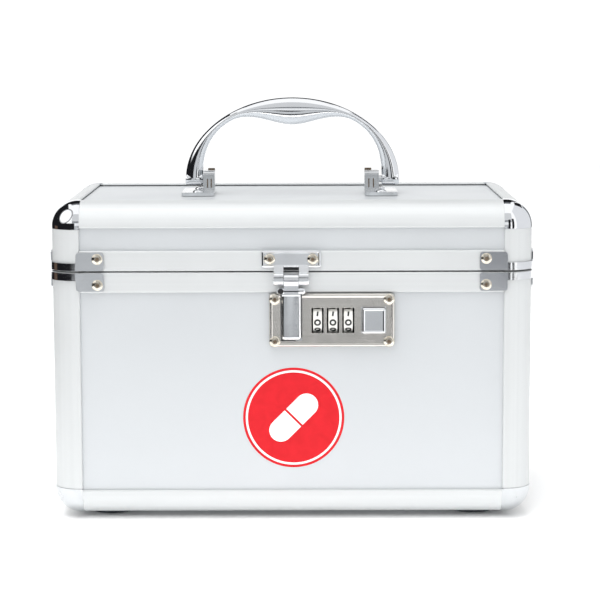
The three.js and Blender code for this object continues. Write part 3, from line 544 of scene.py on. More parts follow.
rail_section = edge_section(rail_flat_leg, rail_face_leg, open_lip)
for side, (axis, along, sign) in side_runs.items():
    for body, prefix, sign_z in (("base", "base_bottom_rail_", 1), ("lid", "lid_top_rail_", -1)):
        low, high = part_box(prefix + side)
        bm = bmesh.new()
        add_side_bar(bm, rail_section, side, low[along], high[along], low.z if sign_z > 0 else high.z, sign_z)
        rail = soften(new_piece(prefix.replace("_rail_", "_edge_rail_") + side, bm))
        dress(rail, aluminium[axis], body, "aluminium", prefix + side)

# Rim frames. Flat aluminium rims run along both sides of the parting line. The base's rims carry a
# tongue that stands up inside the lid, and the lid's short corner posts are riveted to its rims.
rim_height = 0.0114
tongue_clearance = 0.0005
tongue_thickness = 0.0016
tongue_rise = 0.0032
seam = 0.0003
tongue_outer = profile_back + tongue_clearance
tongue_inner = tongue_outer + tongue_thickness
tongue_height = rim_height + tongue_rise
rim_section = rounded([(0, 0, lip_fillet), (profile_back, 0, 0), (profile_back, rim_height, 0),
                       (channel_inner, rim_height, 0), (channel_inner, rim_height - channel_depth, 0),
                       (lip, rim_height - channel_depth, 0), (lip, rim_height, lip_edge),
                       (0, rim_height, lip_crest)])
tongue_section = rounded([(profile_back, 0, 0), (tongue_inner, 0, 0), (tongue_inner, tongue_height, seam),
                          (tongue_outer, tongue_height, seam), (tongue_outer, rim_height, 0),
                          (profile_back, rim_height, 0)])


def add_frame(bm, section, trims, outer_z, sign_z):
    """Runs a section along all four sides, shorter than the case by a trim along x and one along y."""
    for side, (axis, along, sign) in side_runs.items():
        add_side_bar(bm, section, side, case_low[along] + trims[along], case_high[along] - trims[along],
                     outer_z, sign_z)


bm = bmesh.new()
add_frame(bm, rim_section, (post_leg + seam, post_leg + seam), base_top, -1)
add_frame(bm, tongue_section, (tongue_outer, tongue_inner), base_top - rim_height, 1)
dress(soften(new_piece("base_rim", bm)), aluminium["x"], "base", "aluminium", "base_rim_frame")

lid_rim_low, lid_rim_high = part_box("lid_rim_frame")
bm = bmesh.new()
add_frame(bm, rim_section, (post_leg, post_leg), lid_rim_low.z, 1)
dress(soften(new_piece("lid_rim", bm)), aluminium["x"], "lid", "aluminium", "lid_rim_frame")
for place in corner_signs:
    corner_post("lid_corner_post_" + place, place, lid_rim_low.z, lid_rim_high.z, "lid", "lid_rim_frame")

# Panels. Boards 4 mm thick with a silver laminate, held in the channels of the profiles. The
# laminate has a fine pearl and a faint ripple.
laminate_tones = ((0.495, 0.515, 0.533, 1), (0.557, 0.578, 0.594, 1))
pearl_noise = {"Scale": 5200, "Detail": 2}
ripple_noise = {"Scale": 420, "Detail": 2}
ripple_relief = 0.00002


def texture(paint, kind, values):
    """A texture in a paint, laid out in a piece's own coordinates."""
    return put_node(paint.node_tree, kind, {"Vector": own_place(paint.node_tree), **values})


laminate = new_paint("silver_laminate", None, rough=(0.36, 0.46), smudge=18, metallic=0.3)
flecks = texture(laminate, "ShaderNodeTexNoise", pearl_noise)
blend_colours(laminate, flecks.outputs["Fac"], laminate_tones)
ripple = texture(laminate, "ShaderNodeTexNoise", ripple_noise)
emboss(laminate, ripple.outputs["Fac"], ripple_relief)
for side in side_runs:
    repaint("base_panel_" + side, laminate)
    repaint("lid_panel_" + side, laminate)
repaint("base_panel_bottom", laminate)
repaint("lid_panel_top", laminate)

# Ball corners. Pressed steel caps that close each corner of the case where three profiles meet. The
# lid's are polished chrome and the base's have a satin finish. They stand a little proud.
ball_proud = 0.0003
ball_wall = 0.0009
ball_skirt = 0.00085
ball_level_skirt = 0.0019
ball_segments = 96
ball_bevel = 0.0003
chrome_tones = {"bright_chrome": ((0.90, 0.915, 0.935, 1), (0.86, 0.875, 0.90, 1)),
                "satin_chrome": ((0.64, 0.66, 0.675, 1), (0.59, 0.605, 0.62, 1)),
                "zinc_chrome": ((0.78, 0.795, 0.81, 1), (0.66, 0.675, 0.69, 1))}
chrome_rough = {"bright_chrome": (0.045, 0.11), "satin_chrome": (0.2, 0.32), "zinc_chrome": (0.1, 0.24)}
wiping_stretch = (900, 500, 120)
chrome, satin_chrome, zinc_chrome = (
    new_paint(name, tones, rough=chrome_rough[name], smudge=55, relief=0.000002, stretch=wiping_stretch,
              metallic=1) for name, tones in chrome_tones.items())


def corner_point(place, a, b, z):
    """A point at a height, by its depths behind the side and the front or rear face of a corner."""
    sign_x, sign_y = corner_signs[place]
    return Vector((case_x[sign_x] + sign_x * a, case_y[sign_y] + sign_y * b, z))


def cut_with_plane(bm, point, normal, drop_behind=False):
    """Cuts every face that a plane crosses, and drops what lies behind the plane if asked."""
    bmesh.ops.bisect_plane(bm, geom=bm.verts[:] + bm.edges[:] + bm.faces[:], plane_co=point,
                           plane_no=normal, clear_inner=drop_behind)


def add_wall(made, thickness, offset):
    """Gives a sheet its thickness, inwards with an offset of -1 and outwards with 1."""
    wall = made.modifiers.new("wall", "SOLIDIFY")
    wall.thickness = thickness
    wall.offset = offset


def ball_cap(name, centre, signs):
    """An eighth of a ball, cut by three planes a skirt past its centre."""
    bm = bmesh.new()
    bmesh.ops.create_uvsphere(bm, u_segments=ball_segments, v_segments=ball_segments // 2,
                              radius=edge_radius + ball_proud)
    for i, (sign, skirt) in enumerate(zip(signs, (ball_level_skirt, ball_level_skirt, ball_skirt))):
        normal = Vector((0, 0, 0))
        normal[i] = sign
        cut_with_plane(bm, -skirt * normal, normal, drop_behind=True)
    bmesh.ops.translate(bm, verts=bm.verts, vec=centre)
    cap = new_piece(name, bm)
    add_wall(cap, ball_wall, -1)
    return soften(cap, ball_bevel, segments=3)


for place, (sign_x, sign_y) in corner_signs.items():
    for body, prefix, sign_z in (("base", "base_ball_corner_", 1), ("lid", "lid_ball_corner_", -1)):
        low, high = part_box(prefix + place)
        middle_z = (low if sign_z > 0 else high).z + sign_z * (edge_radius + ball_proud)
        cap = ball_cap(prefix.replace("ball_corner", "ball_cap") + place,
                       corner_point(place, edge_radius, edge_radius, middle_z), (-sign_x, -sign_y, -sign_z))
        dress(cap, chrome if sign_z < 0 else satin_chrome, body, "chrome", prefix + place)

# Rivets. Blind rivets with low domed heads of warm nickel-plated steel. The mandrel's broken stub
# shows brown in the hole at the middle of each head.
rivet_profile = [(0.0031, 0), (0.0031, 0.00025), (0.00298, 0.00042), (0.0027, 0.00062), (0.0023, 0.00084),
                 (0.00185, 0.00102), (0.00155, 0.0011), (0.00138, 0.0011), (0.00128, 0.00100),
                 (0.00125, 0.0008)]
stub_profile = [(0.00125, 0.0005), (0.00118, 0.00072), (0.0008, 0.00092), (0.0004, 0.00101), (0, 0.00103)]
head_steps = 40
stub_steps = 20
stub_reach = 0.0012625
rivet_tones = ((0.83, 0.79, 0.70, 1), (0.62, 0.56, 0.46, 1))
# The stub's dark brown is the mandrel's own colour on the rivets. The same paint is also laid in the flutes
# and on the ear ridges of the handle brackets as painted shade.
stub_and_shade_tones = ((0.10, 0.062, 0.034, 1), (0.26, 0.21, 0.16, 1))
rivet_nickel = new_paint("rivet_nickel", rivet_tones, rough=(0.12, 0.3), smudge=700, relief=0.00002,
                         metallic=1)
mandrel_and_shade_steel = new_paint("mandrel_stub_and_painted_shade", stub_and_shade_tones, rough=(0.4, 0.7), smudge=1500, relief=0.0001,
                          metallic=0.7)


def add_turned(bm, profile, origin, direction, steps):
    """Turns a profile of (radius, height) round a direction. Ends that reach the axis close there."""
    direction = Vector(direction).normalized()
    side = direction.orthogonal().normalized()
    other = direction.cross(side)
    rings = []
    for radius, height in profile:
        middle = Vector(origin) + direction * height
        if radius == 0:
            rings.append([bm.verts.new(middle)])
            continue
        ring = []
        for k in range(steps):
            angle = 2 * math.pi * k / steps
            ring.append(bm.verts.new(middle + (side * math.cos(angle) + other * math.sin(angle)) * radius))
        rings.append(ring)
    for near, far in zip(rings, rings[1:]):
        for k in range(steps):
            j = (k + 1) % steps
            corners = [near[k % len(near)], near[j % len(near)], far[j % len(far)], far[k % len(far)]]
            bm.faces.new(list(dict.fromkeys(corners)))
    for ring, back in ((rings[0], True), (rings[-1], False)):
        if len(ring) > 1:
            bm.faces.new(ring[::-1] if back else ring)


def turned_piece(name, profile, origin, direction, steps):
    """One turned profile as an object."""
    bm = bmesh.new()
    add_turned(bm, profile, origin, direction, steps)
    return new_piece(name, bm)


def rivet(name, origin, direction, body):
    """A rivet head and the mandrel stub in it."""
    bm = bmesh.new()
    add_turned(bm, rivet_profile, origin, direction, head_steps)
    add_turned(bm, stub_profile, origin, direction, stub_steps)
    head = new_piece(name, bm)
    dress(head, rivet_nickel, body, "nickel")
    head.data.materials.append(mandrel_and_shade_steel)
    axis = Vector(direction).normalized()
    for face in head.data.polygons:
        offset = face.center - Vector(origin)
        away = offset - axis * offset.dot(axis)
        if away.length < stub_reach and len(face.vertices) <= 4:
            face.material_index = 1


# Corner brackets. Strips of nickel-plated steel, bent round each corner post at the parting line,
# with a riveted tab on each face. They tie the posts to the rims.
bracket_gap = 0.0003
bracket_sheet = 0.0008
tab_height = 0.0102
tab_start = 0.0147
tab_reach = 0.0302
tab_radius = 0.0016
band_height = 0.0042
bracket_rivet_inset = 0.0266
bracket_rivet_rise = 0.0066
bend_steps = 24
sheet_bevel = 0.0002
steel_tones = ((0.88, 0.895, 0.915, 1), (0.81, 0.825, 0.845, 1))
plated_steel = new_paint("plated_steel", steel_tones, rough=(0.07, 0.15), smudge=90, relief=0.000006,
                         stretch=(150, 150, 3200), streaked="roughness", metallic=1)


def bent_bracket(name, place, body, up):
    """Bends a flat cut sheet round a corner post, tab by tab, and gives it its thickness."""
    sign_x, sign_y = corner_signs[place]
    bend_radius = edge_radius + bracket_gap
    quarter_run = bend_radius * math.pi / 2
    half_run = quarter_run / 2
    start = half_run + tab_start - edge_radius
    end = half_run + tab_reach - edge_radius
    tab = [(end, 0, tab_radius), (end, tab_height, tab_radius), (start, tab_height, tab_radius),
           (start, band_height, lip_fillet)]
    outline = rounded(tab + [(-run, rise, radius) for run, rise, radius in reversed(tab)])
    bm = bmesh.new()
    bm.faces.new([bm.verts.new((run, 0, rise)) for run, rise in outline])
    for k in range(bend_steps + 1):
        cut_with_plane(bm, (-half_run + quarter_run * k / bend_steps, 0, 0), (1, 0, 0))
    node = body + "_corner_bracket_" + place
    edge_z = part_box(node)[0].z if up > 0 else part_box(node)[1].z
    for vert in bm.verts:
        run, rise = vert.co.x, vert.co.z
        angle = math.pi + math.pi / 4 + max(-half_run, min(half_run, run)) / bend_radius
        a = edge_radius + bend_radius * math.cos(angle) + max(0, run - half_run)
        b = edge_radius + bend_radius * math.sin(angle) + max(0, -half_run - run)
        vert.co = corner_point(place, a, b, edge_z + up * rise)
    bmesh.ops.recalc_face_normals(bm, faces=bm.faces)
    face = max(bm.faces, key=lambda f: f.calc_area())
    outward = face.calc_center_median() - corner_point(place, edge_radius, edge_radius, 0)
    outward.z = 0
    if face.normal.dot(outward) < 0:
        bmesh.ops.reverse_faces(bm, faces=bm.faces)
    made = smooth_object(name, bm)
    add_wall(made, bracket_sheet, 1)
    dress(soften(made, sheet_bevel, segments=3), plated_steel, body, "plated_steel", node)
    rise_z = edge_z + up * bracket_rivet_rise
    out = -bracket_gap - bracket_sheet
    face_point = corner_point(place, bracket_rivet_inset, out, rise_z)
    side_point = corner_point(place, out, bracket_rivet_inset, rise_z)
    rivet(f"{body}_{place}_face_rivet", face_point, (0, -sign_y, 0), body)
    rivet(f"{body}_{place}_side_rivet", side_point, (-sign_x, 0, 0), body)


for place in corner_signs:
    bent_bracket("base_bracket_" + place, place, "base", -1)
    bent_bracket("lid_bracket_" + place, place, "lid", 1)

# Feet. Round moulded rubber feet, each with a recess for the screw that holds it.
foot_recess_radius = 0.005
foot_recess_depth = 0.0014
foot_edge = 0.0011
foot_edge_shares = [(1, 0), (0.55, 0.1), (0.2, 0.4), (0.05, 1), (0, 1.6)]
foot_steps = 64
foot_screw_profile = [(0.0034, 0), (0.0034, 0.0003), (0.0028, 0.00075), (0.0016, 0.00095), (0.0012, 0.00055),
                      (0, 0.0005)]
small_steps = 32
rubber_grain = {"Scale": 2200}
rubber_relief = 0.00006
rubber_tones = ((0.028, 0.034, 0.042, 1), (0.075, 0.085, 0.095, 1))
dark_rubber = new_paint("dark_rubber", rubber_tones, rough=(0.6, 0.85), smudge=260)
moulded = texture(dark_rubber, "ShaderNodeTexVoronoi", rubber_grain)
emboss(dark_rubber, moulded.outputs["Distance"], rubber_relief)
for place in corner_signs:
    low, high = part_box("foot_" + place)
    middle = (low + high) / 2
    foot_radius = (high.x - low.x) / 2
    profile = [(0, foot_recess_depth), (foot_recess_radius - foot_edge / 2, foot_recess_depth),
               (foot_recess_radius, foot_recess_depth - foot_edge / 4), (foot_recess_radius, foot_edge / 3),
               (foot_recess_radius + foot_edge / 3, 0)]
    profile += [(foot_radius - foot_edge * inset, foot_edge * rise) for inset, rise in foot_edge_shares]
    profile += [(foot_radius, high.z - low.z), (0, high.z - low.z)]
    foot = turned_piece("rubber_foot_" + place, profile, (middle.x, middle.y, low.z), (0, 0, 1), foot_steps)
    dress(foot, dark_rubber, "base", "rubber", "foot_" + place)
    screw = turned_piece("foot_screw_" + place, foot_screw_profile, (middle.x, middle.y, foot_recess_depth),
                         (0, 0, -1), small_steps)
    dress(screw, plated_steel, "base", "plated_steel")

# Rear hinge. Two rolled leaves of plated steel with five knuckles on one long pin, riveted to the
# rims of the lid and the base. The lid's leaf has the second and fourth knuckles.
hinge_knuckles = 5
hinge_radius = 0.0022
hinge_sheet = 0.0008
hinge_bore = 0.0014
hinge_pin_radius = 0.0011
hinge_pin_head = [(0, 0), (0.00126, 0), (0.0018, 0.00028), (0.0018, 0.0008), (hinge_pin_radius, 0.0008)]
hinge_gap = 0.0003
hinge_corner = 0.0025
hinge_rivet_count = 5
hinge_rivet_pitch = 0.040
hinge_rivet_rise = 0.0066
spare = 0.001


def oblong(a, b, width, height, radius, steps=fillet_steps):
    """A rectangle with rounded corners about a middle point."""
    return rounded([(a - width / 2, b - height / 2, radius), (a + width / 2, b - height / 2, radius),
                    (a + width / 2, b + height / 2, radius), (a - width / 2, b + height / 2, radius)], steps)


def mirrored(profile, length):
    """A profile of (radius, height) with the same end again at its far end."""
    return profile + [(radius, length - height) for radius, height in reversed(profile)]


def shape_with(made, tools, operation):
    """Cuts tools out of a piece or joins them to it, and uses the tools up."""
    for tool in tools:
        step = made.modifiers.new("tool", "BOOLEAN")
        step.operation = operation
        step.solver = "EXACT"
        step.object = tool
    seen_now = bpy.context.evaluated_depsgraph_get()
    shaped = bpy.data.meshes.new_from_object(made.evaluated_get(seen_now))
    made.modifiers.clear()
    made.data = shaped
    for tool in tools:
        bpy.data.objects.remove(tool)
    shaped.shade_smooth()
    shaped.set_sharp_from_angle(angle=sharp_angle)


leaf_low, leaf_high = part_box("hinge_leaf_lid")
hinge_y = leaf_high.y - hinge_radius
hinge_z = leaf_low.z + hinge_radius
hinge_back = hinge_y - hinge_radius
knuckle_length = (leaf_high.x - leaf_low.x) / hinge_knuckles
for body, up in (("lid", 1), ("base", -1)):
    low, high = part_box("hinge_leaf_" + body)
    edge = high.z if up > 0 else low.z
    plate = rounded([(low.x, hinge_z, 0), (high.x, hinge_z, 0), (high.x, edge, hinge_corner),
                     (low.x, edge, hinge_corner)])
    leaf = prism_piece("hinge_leaf_of_" + body, plate, "y", hinge_back, hinge_back + hinge_sheet)
    curls = []
    clearings = []
    for k in range(hinge_knuckles):
        first = low.x + k * knuckle_length
        last = first + knuckle_length
        if (k % 2 == 1) == (up > 0):
            curls.append(prism_piece("curl", disc(hinge_y, hinge_z, hinge_radius), "x",
                                     first + hinge_gap / 2, last - hinge_gap / 2))
        else:
            swing = 2 * hinge_radius + 4 * hinge_gap
            clearings.append(prism_piece("clearing", oblong(hinge_y, hinge_z, swing, swing, hinge_gap), "x",
                                         first - hinge_gap / 2, last + hinge_gap / 2))
    shape_with(leaf, curls, "UNION")
    bore = prism_piece("bore", disc(hinge_y, hinge_z, hinge_bore), "x", low.x - spare, high.x + spare)
    shape_with(leaf, clearings + [bore], "DIFFERENCE")
    dress(soften(leaf), plated_steel, body, "plated_steel", "hinge_leaf_" + body)
    for k in range(hinge_rivet_count):
        along = (k - (hinge_rivet_count - 1) / 2) * hinge_rivet_pitch
        place = (along, hinge_back + hinge_sheet, hinge_z + up * hinge_rivet_rise)
        rivet(f"hinge_rivet_{body}_{k + 1}", place, (0, 1, 0), body)

low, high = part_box("hinge_pin")
hinge_rod = turned_piece("hinge_rod", mirrored(hinge_pin_head, high.x - low.x), (low.x, hinge_y, hinge_z),
                         (1, 0, 0), small_steps)
dress(hinge_rod, plated_steel, "base", "plated_steel", "hinge_pin")

# Bow handle. A zinc casting, polished and chromed: slim at the shoulders, swollen in the middle for
# the palm, with flared legs that end in a barrel round each pivot.
bow_widths = (0.0103, 0.0047, 0.016)
bow_depths = (0.007, 0.009, 0.010)
bow_leg_width = bow_widths[0]
bow_leg_span = 50
bow_belly_span = 38
bow_barrel_radius = 0.0035
barrel_end = [(0, 0), (0.0027, 0), (0.00326, 0.00024), (bow_barrel_radius, 0.0008)]
barrel_steps = 48
bow_bore_radius = 0.0023
bow_bore_depth = 0.008
bow_stations = 160
bow_sides = 64
bow_low, bow_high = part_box("handle_bow")
bow_half_span = bow_high.x
bracket_low, bracket_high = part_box("handle_bracket_left")
pivot = Vector((0, (bracket_low.y + bracket_high.y) / 2, bow_low.z + bow_barrel_radius))
bow_rise = bow_high.z - pivot.z


def rod(radius, length):
    """The profile of a plain round rod that starts a spare length early."""
    return [(0, -spare), (radius, -spare), (radius, length), (0, length)]


def bell(angle, span):
    """Falls smoothly from one at zero to nothing at the span."""
    return (1 + math.cos(math.pi * angle / span)) / 2 if angle < span else 0


def bow_size(angle, leg, neck, belly):
    """How wide or deep the bow is at an angle round its arch."""
    from_leg = min(angle, 180 - angle)
    flare = (leg - neck) * bell(from_leg, bow_leg_span)
    return neck + flare + (belly - neck) * bell(90 - from_leg, bow_belly_span)


bm = bmesh.new()
rings = []
for k in range(bow_stations + 1):
    angle = 180 * k / bow_stations
    t = math.radians(angle)
    outer = pivot + Vector((bow_half_span * math.cos(t), 0, bow_rise * math.sin(t)))
    inward = Vector((-math.cos(t) / bow_half_span, 0, -math.sin(t) / bow_rise)).normalized()
    width = bow_size(angle, *bow_widths)
    depth = bow_size(angle, *bow_depths)
    ring = []
    for j in range(bow_sides):
        phase = 2 * math.pi * j / bow_sides
        place = outer + inward * width * (1 - math.cos(phase)) / 2
        place.y += depth / 2 * math.sin(phase)
        ring.append(bm.verts.new(place))
    rings.append(ring)
skin(bm, rings)
bow = new_piece("bow_grip", bm)
barrel_profile = mirrored(barrel_end, bow_leg_width)
bore_profile = rod(bow_bore_radius, bow_bore_depth)
barrels = []
bores = []
for sign in (-1, 1):
    inner = pivot + Vector((sign * (bow_half_span - bow_leg_width), 0, 0))
    barrels.append(turned_piece("barrel", barrel_profile, inner, (sign, 0, 0), barrel_steps))
    bores.append(turned_piece("bore", bore_profile, inner, (sign, 0, 0), small_steps))
shape_with(bow, barrels, "UNION")
shape_with(bow, bores, "DIFFERENCE")
dress(bow, chrome, "handle", "chrome", "handle_bow")

# Handle brackets. Chromed zinc feet on the lid, each with an upright ear whose pin holds one leg of
# the bow, and two cross-headed screws down into the lid. Each ear has two flutes and a ridge on its top;
# the flutes' bottoms and the ridge are painted dark as painted shade.
plate_length = 0.019
plate_width = 0.038
plate_sheet = 0.002
plate_corner = 0.003
ear_thickness = {"left": 0.0068, "right": 0.0084}
bracket_shift = {"left": 0, "right": 0.0031}
ear_width = 0.015
ear_crest = 0.0022
ear_foot = 0.0022
ear_foot_steps = 8
casting_bevel = 0.0004
flute_shares = (0.3, 0.62)
flute_width = 0.0009
flute_corner = 0.00036
flute_depth = 0.0006
flute_rise = 0.0038
flute_height = 0.0056
ridge_height = 0.0009
ridge_depth = 0.0007
ridge_length = 0.0046
pivot_pin_radius = 0.002
pivot_pin_reach = 0.0075
screw_pitch = 0.026
screw_profile = [(0.0032, 0), (0.0031, 0.0004), (0.0026, 0.0009), (0.0018, 0.00125), (0.0009, 0.0014),
                 (0, 0.00145)]
screw_slot_width = 0.0007
screw_slot_length = 0.0034
screw_slot_depth = 0.0008


def block(name, a_ends, b_ends, axis, low, high):
    """A plain block between two values of each coordinate."""
    (a_low, a_high), (b_low, b_high) = a_ends, b_ends
    outline = [(a_low, b_low), (a_high, b_low), (a_high, b_high), (a_low, b_high)]
    return prism_piece(name, outline, axis, low, high)


def cross_screw(name, origin, body):
    """A domed screw head with a cross recess, standing upwards."""
    head = turned_piece(name, screw_profile, origin, (0, 0, 1), head_steps)
    top = origin.z + screw_profile[-1][1]
    slots = []
    for width, length in ((screw_slot_width, screw_slot_length), (screw_slot_length, screw_slot_width)):
        slot = oblong(origin.x, origin.y, width, length, screw_slot_width / 4)
        slots.append(prism_piece("slot", slot, "z", top - screw_slot_depth, top + spare))
    shape_with(head, slots, "DIFFERENCE")
    dress(head, plated_steel, body, "plated_steel")


ear_front = pivot.y - ear_width / 2
ear_rear = pivot.y + ear_width / 2
for side, sign in (("left", -1), ("right", 1)):
    node = "handle_bracket_" + side
    low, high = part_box(node)
    inner = (low.x if sign > 0 else high.x) - sign * bracket_shift[side]
    ear_face = inner + sign * ear_thickness[side]
    middle_x = inner + sign * plate_length / 2
    plate_top = low.z + plate_sheet
    plate = oblong(middle_x, pivot.y, plate_length, plate_width, plate_corner)
    bracket = prism_piece("handle_foot_" + side, plate, "z", low.z, plate_top)
    ear = rounded([(ear_front, low.z + seam, 0), (ear_rear, low.z + seam, 0), (ear_rear, high.z, ear_crest),
                   (ear_front, high.z, ear_crest)])
    upright_ear = prism_piece("ear", ear, "x", min(inner, ear_face), max(inner, ear_face))
    gusset = [Vector((ear_face - sign * seam, plate_top - seam))]
    for k in range(ear_foot_steps + 1):
        angle = math.pi / 2 * k / ear_foot_steps
        gusset.append(Vector((ear_face + sign * ear_foot * (1 - math.sin(angle)),
                              plate_top + ear_foot * (1 - math.cos(angle)))))
    gusset.append(Vector((ear_face - sign * seam, plate_top + ear_foot)))
    gusset_block = prism_piece("gusset", gusset, "y", ear_front + ear_crest, ear_rear - ear_crest)
    reach = pivot_pin_reach + bow_half_span - bow_leg_width - abs(ear_face)
    pin = turned_piece("pin", rod(pivot_pin_radius, reach), (ear_face, pivot.y, pivot.z), (sign, 0, 0),
                       small_steps)
    shape_with(bracket, [upright_ear, gusset_block, pin], "UNION")
    flutes = []
    for share in flute_shares:
        flute_x = inner + sign * ear_thickness[side] * share
        flute_z = low.z + flute_rise + flute_height / 2
        flute = oblong(flute_x, flute_z, flute_width, flute_height, flute_corner)
        flutes.append(prism_piece("flute", flute, "y", ear_front - spare, ear_front + flute_depth))
        # A dark strip in the bottom of each flute is painted shade.
        flute_shade = oblong(flute_x, flute_z, flute_width - seam, flute_height - seam, seam)
        flute_shade_piece = prism_piece("flute_shade", flute_shade, "y", ear_front + flute_depth / 2,
                             ear_front + flute_depth * 1.5)
        dress(flute_shade_piece, mandrel_and_shade_steel, "lid", "chrome")
    shape_with(bracket, flutes, "DIFFERENCE")
    dress(soften(bracket, casting_bevel, segments=3), zinc_chrome, "lid", "chrome", node)
    # The ridge along the rear of the ear's top is painted dark as painted shade.
    ridge_rear = ear_rear - ear_crest
    ridge_ends = sorted((inner, inner + sign * ridge_length))
    ridge = block("ear_shade_ridge_" + side, (ridge_rear, ridge_rear - ridge_depth),
                  (high.z - spare, high.z + ridge_height), "x", ridge_ends[0] + seam, ridge_ends[1] - seam)
    dress(soften(ridge), mandrel_and_shade_steel, "lid", "chrome")
    for end, k in (("front", -1), ("rear", 1)):
        place = Vector((middle_x, pivot.y + k * screw_pitch / 2, plate_top))
        cross_screw(f"handle_screw_{side}_{end}", place, "lid")

# Catch plate. A pressed and plated plate with a raised rim, riveted to the lid's rim. Its lower edge
# is rolled into the two outer knuckles of the hasp's hinge. A near-black strip above the middle one is
# painted shade for the gap there.
catch_width = 0.0334
catch_height = 0.0099
catch_rise = 0.0018
catch_thickness = 0.0015
catch_corner = 0.0014
catch_rim = [(0, 0), (0, 0.0005), (0.0002, 0.0009), (0.0006, 0.00132), (0.00105, 0.0015), (0.0013, 0.00143),
             (0.0015, 0.00118), (0.0017, 0.0009)]
catch_gap = 0.0003
catch_floor = 0.0009
catch_rivet_pitch = 0.024
dish_corner_share = 0.2
dish_corner_steps = 6
knuckle_radius = 0.0028
knuckle_bore = 0.0014
knuckle_pin = 0.0011
knuckle_pin_end = 0.00088
knuckle_pin_steps = 28
knuckle_half = 0.0097
knuckle_crest = 0.0016
slot_height = 0.0012
slot_depth = 0.0004
slot_lift = 0.0021
centre_half = 0.0042
centre_rise = 0.0034
hasp_low, hasp_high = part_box("hasp")
latch_x = (hasp_low.x + hasp_high.x) / 2
latch_y = hasp_low.y + knuckle_radius
latch_z = hasp_high.z - knuckle_radius
# Blackened steel is the real finish of the lock housing. The same near-black is also laid in the gap above
# the middle knuckle and at the neck's left end as painted shade.
oxide_and_shade_tones = ((0.022, 0.022, 0.024, 1), (0.06, 0.06, 0.062, 1))
blackened_steel_and_painted_shade = new_paint("blackened_steel_and_painted_shade", oxide_and_shade_tones, rough=(0.35, 0.6), smudge=70, relief=0.00003,
                            metallic=0.8)


def dish_piece(name, width, height, radius, rings, middle):
    """A rounded rectangle whose surface climbs to the front in rings of (inset, rise)."""
    bm = bmesh.new()
    made = []
    for inset, rise in rings:
        corner = max(radius - inset, radius * dish_corner_share)
        outline = oblong(middle[0], middle[2], width - 2 * inset, height - 2 * inset, corner,
                         dish_corner_steps)
        made.append([bm.verts.new((a, middle[1] - rise, b)) for a, b in outline])
    skin(bm, made)
    return new_piece(name, bm)


def drill(made, a, b, radius, low, high):
    """Bores a round hole through a piece along x."""
    shape_with(made, [prism_piece("bore", disc(a, b, radius), "x", low, high)], "DIFFERENCE")


catch_back = case_low.y - catch_gap
catch_low = lid_rim_low.z + catch_rise
catch_middle = Vector((latch_x, catch_back, catch_low + catch_height / 2))
catch = dish_piece("catch", catch_width, catch_height, catch_corner, catch_rim, catch_middle)
strap_top = catch_low + catch_rim[-1][0]
strap_run = Vector((latch_y - catch_back + catch_thickness, latch_z - strap_top))
strap_slope = math.atan2(-strap_run.x, -strap_run.y) + math.asin(knuckle_radius / strap_run.length)
strap_touch = (latch_y - knuckle_radius * math.cos(strap_slope),
               latch_z + knuckle_radius * math.sin(strap_slope))
web = [(catch_back, strap_top), (catch_back - catch_thickness, strap_top), strap_touch, (latch_y, latch_z),
       (catch_back, latch_z)]
knuckle = [(a, b + (knuckle_crest if b > latch_z else 0)) for a, b in disc(latch_y, latch_z, knuckle_radius)]
curls = []
for first, last in ((-knuckle_half, -centre_half - seam / 2), (centre_half + seam / 2, knuckle_half)):
    for name, outline in (("curl", knuckle), ("web", web)):
        curls.append(prism_piece(name, outline, "x", latch_x + first, latch_x + last))
shape_with(catch, curls, "UNION")
drill(catch, latch_y, latch_z, knuckle_bore, latch_x - catch_width, latch_x + catch_width)
dress(soften(catch, sheet_bevel), plated_steel, "lid", "plated_steel", "hasp_catch_plate")
# A near-black strip in the gap above the middle knuckle is painted shade.
slot_low = latch_z + centre_rise + slot_lift
slot_shade = block("catch_slot_shade", (catch_back - slot_depth, catch_back), (slot_low, slot_low + slot_height),
                   "x", latch_x - centre_half, latch_x + centre_half)
dress(slot_shade, blackened_steel_and_painted_shade, "lid", "plated_steel")
for side, sign in (("left", -1), ("right", 1)):
    place = (latch_x + sign * catch_rivet_pitch / 2, catch_back - catch_floor, catch_middle.z)
    rivet("catch_rivet_" + side, place, (0, -1, 0), "lid")
low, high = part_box("hasp_pin")
knuckle_pin_half = [(0, 0), (knuckle_pin_end, 0), (knuckle_pin, seam)]
latch_pin = turned_piece("latch_pin", mirrored(knuckle_pin_half, high.x - low.x), (low.x, latch_y, latch_z),
                         (1, 0, 0), knuckle_pin_steps)
dress(latch_pin, plated_steel, "lid", "plated_steel", "hasp_pin")

# Hasp. A plated casting that hangs from the catch plate: centre knuckle, wide neck with a near-black
# patch of painted shade at its left end, and a long crowned tab with a rounded rim. The tab drops into
# the lock's notch, where the lug on its back meets the bolt.
neck_width = 0.0164
neck_height = 0.0051
neck_clearance = 0.0013
neck_corner = 0.0018
neck_rim = [(0, 0), (0, 0.0005), (0.0003, 0.00112), (0.0007, 0.00157), (0.0012, 0.00187), (0.0016, 0.002)]
hasp_thickness = 0.002
hasp_step = 0.0018
hasp_width = 0.0109
hasp_corner = 0.0018
hasp_rim = [(0, 0), (0, 0.0007), (0.00015, 0.00105), (0.00045, 0.00142), (0.0008, 0.0017), (0.00115, 0.00189),
            (0.00145, 0.00198), (0.0017, 0.002)]
lug_width = 0.004
lug_height = 0.0028
lug_depth = 0.0016
lug_rise = 0.001
lug_corner = 0.0004
shelf_rise = 0.0011
shelf_radius = 0.00099
shelf_steps = 8
crown_rise = 0.0004
crown_steps = 16
neck_shade_width = 0.0034
neck_shade_height = 0.0029
neck_shade_corner = 0.001392
neck_shade_inset = 0.0023
neck_shade_stand = 0.0001
neck_low = latch_z - knuckle_radius - neck_height
neck_solid = neck_height - neck_clearance
neck_middle = neck_low + neck_solid / 2
neck_back = latch_y + 2 * seam
neck_front = neck_back - hasp_thickness
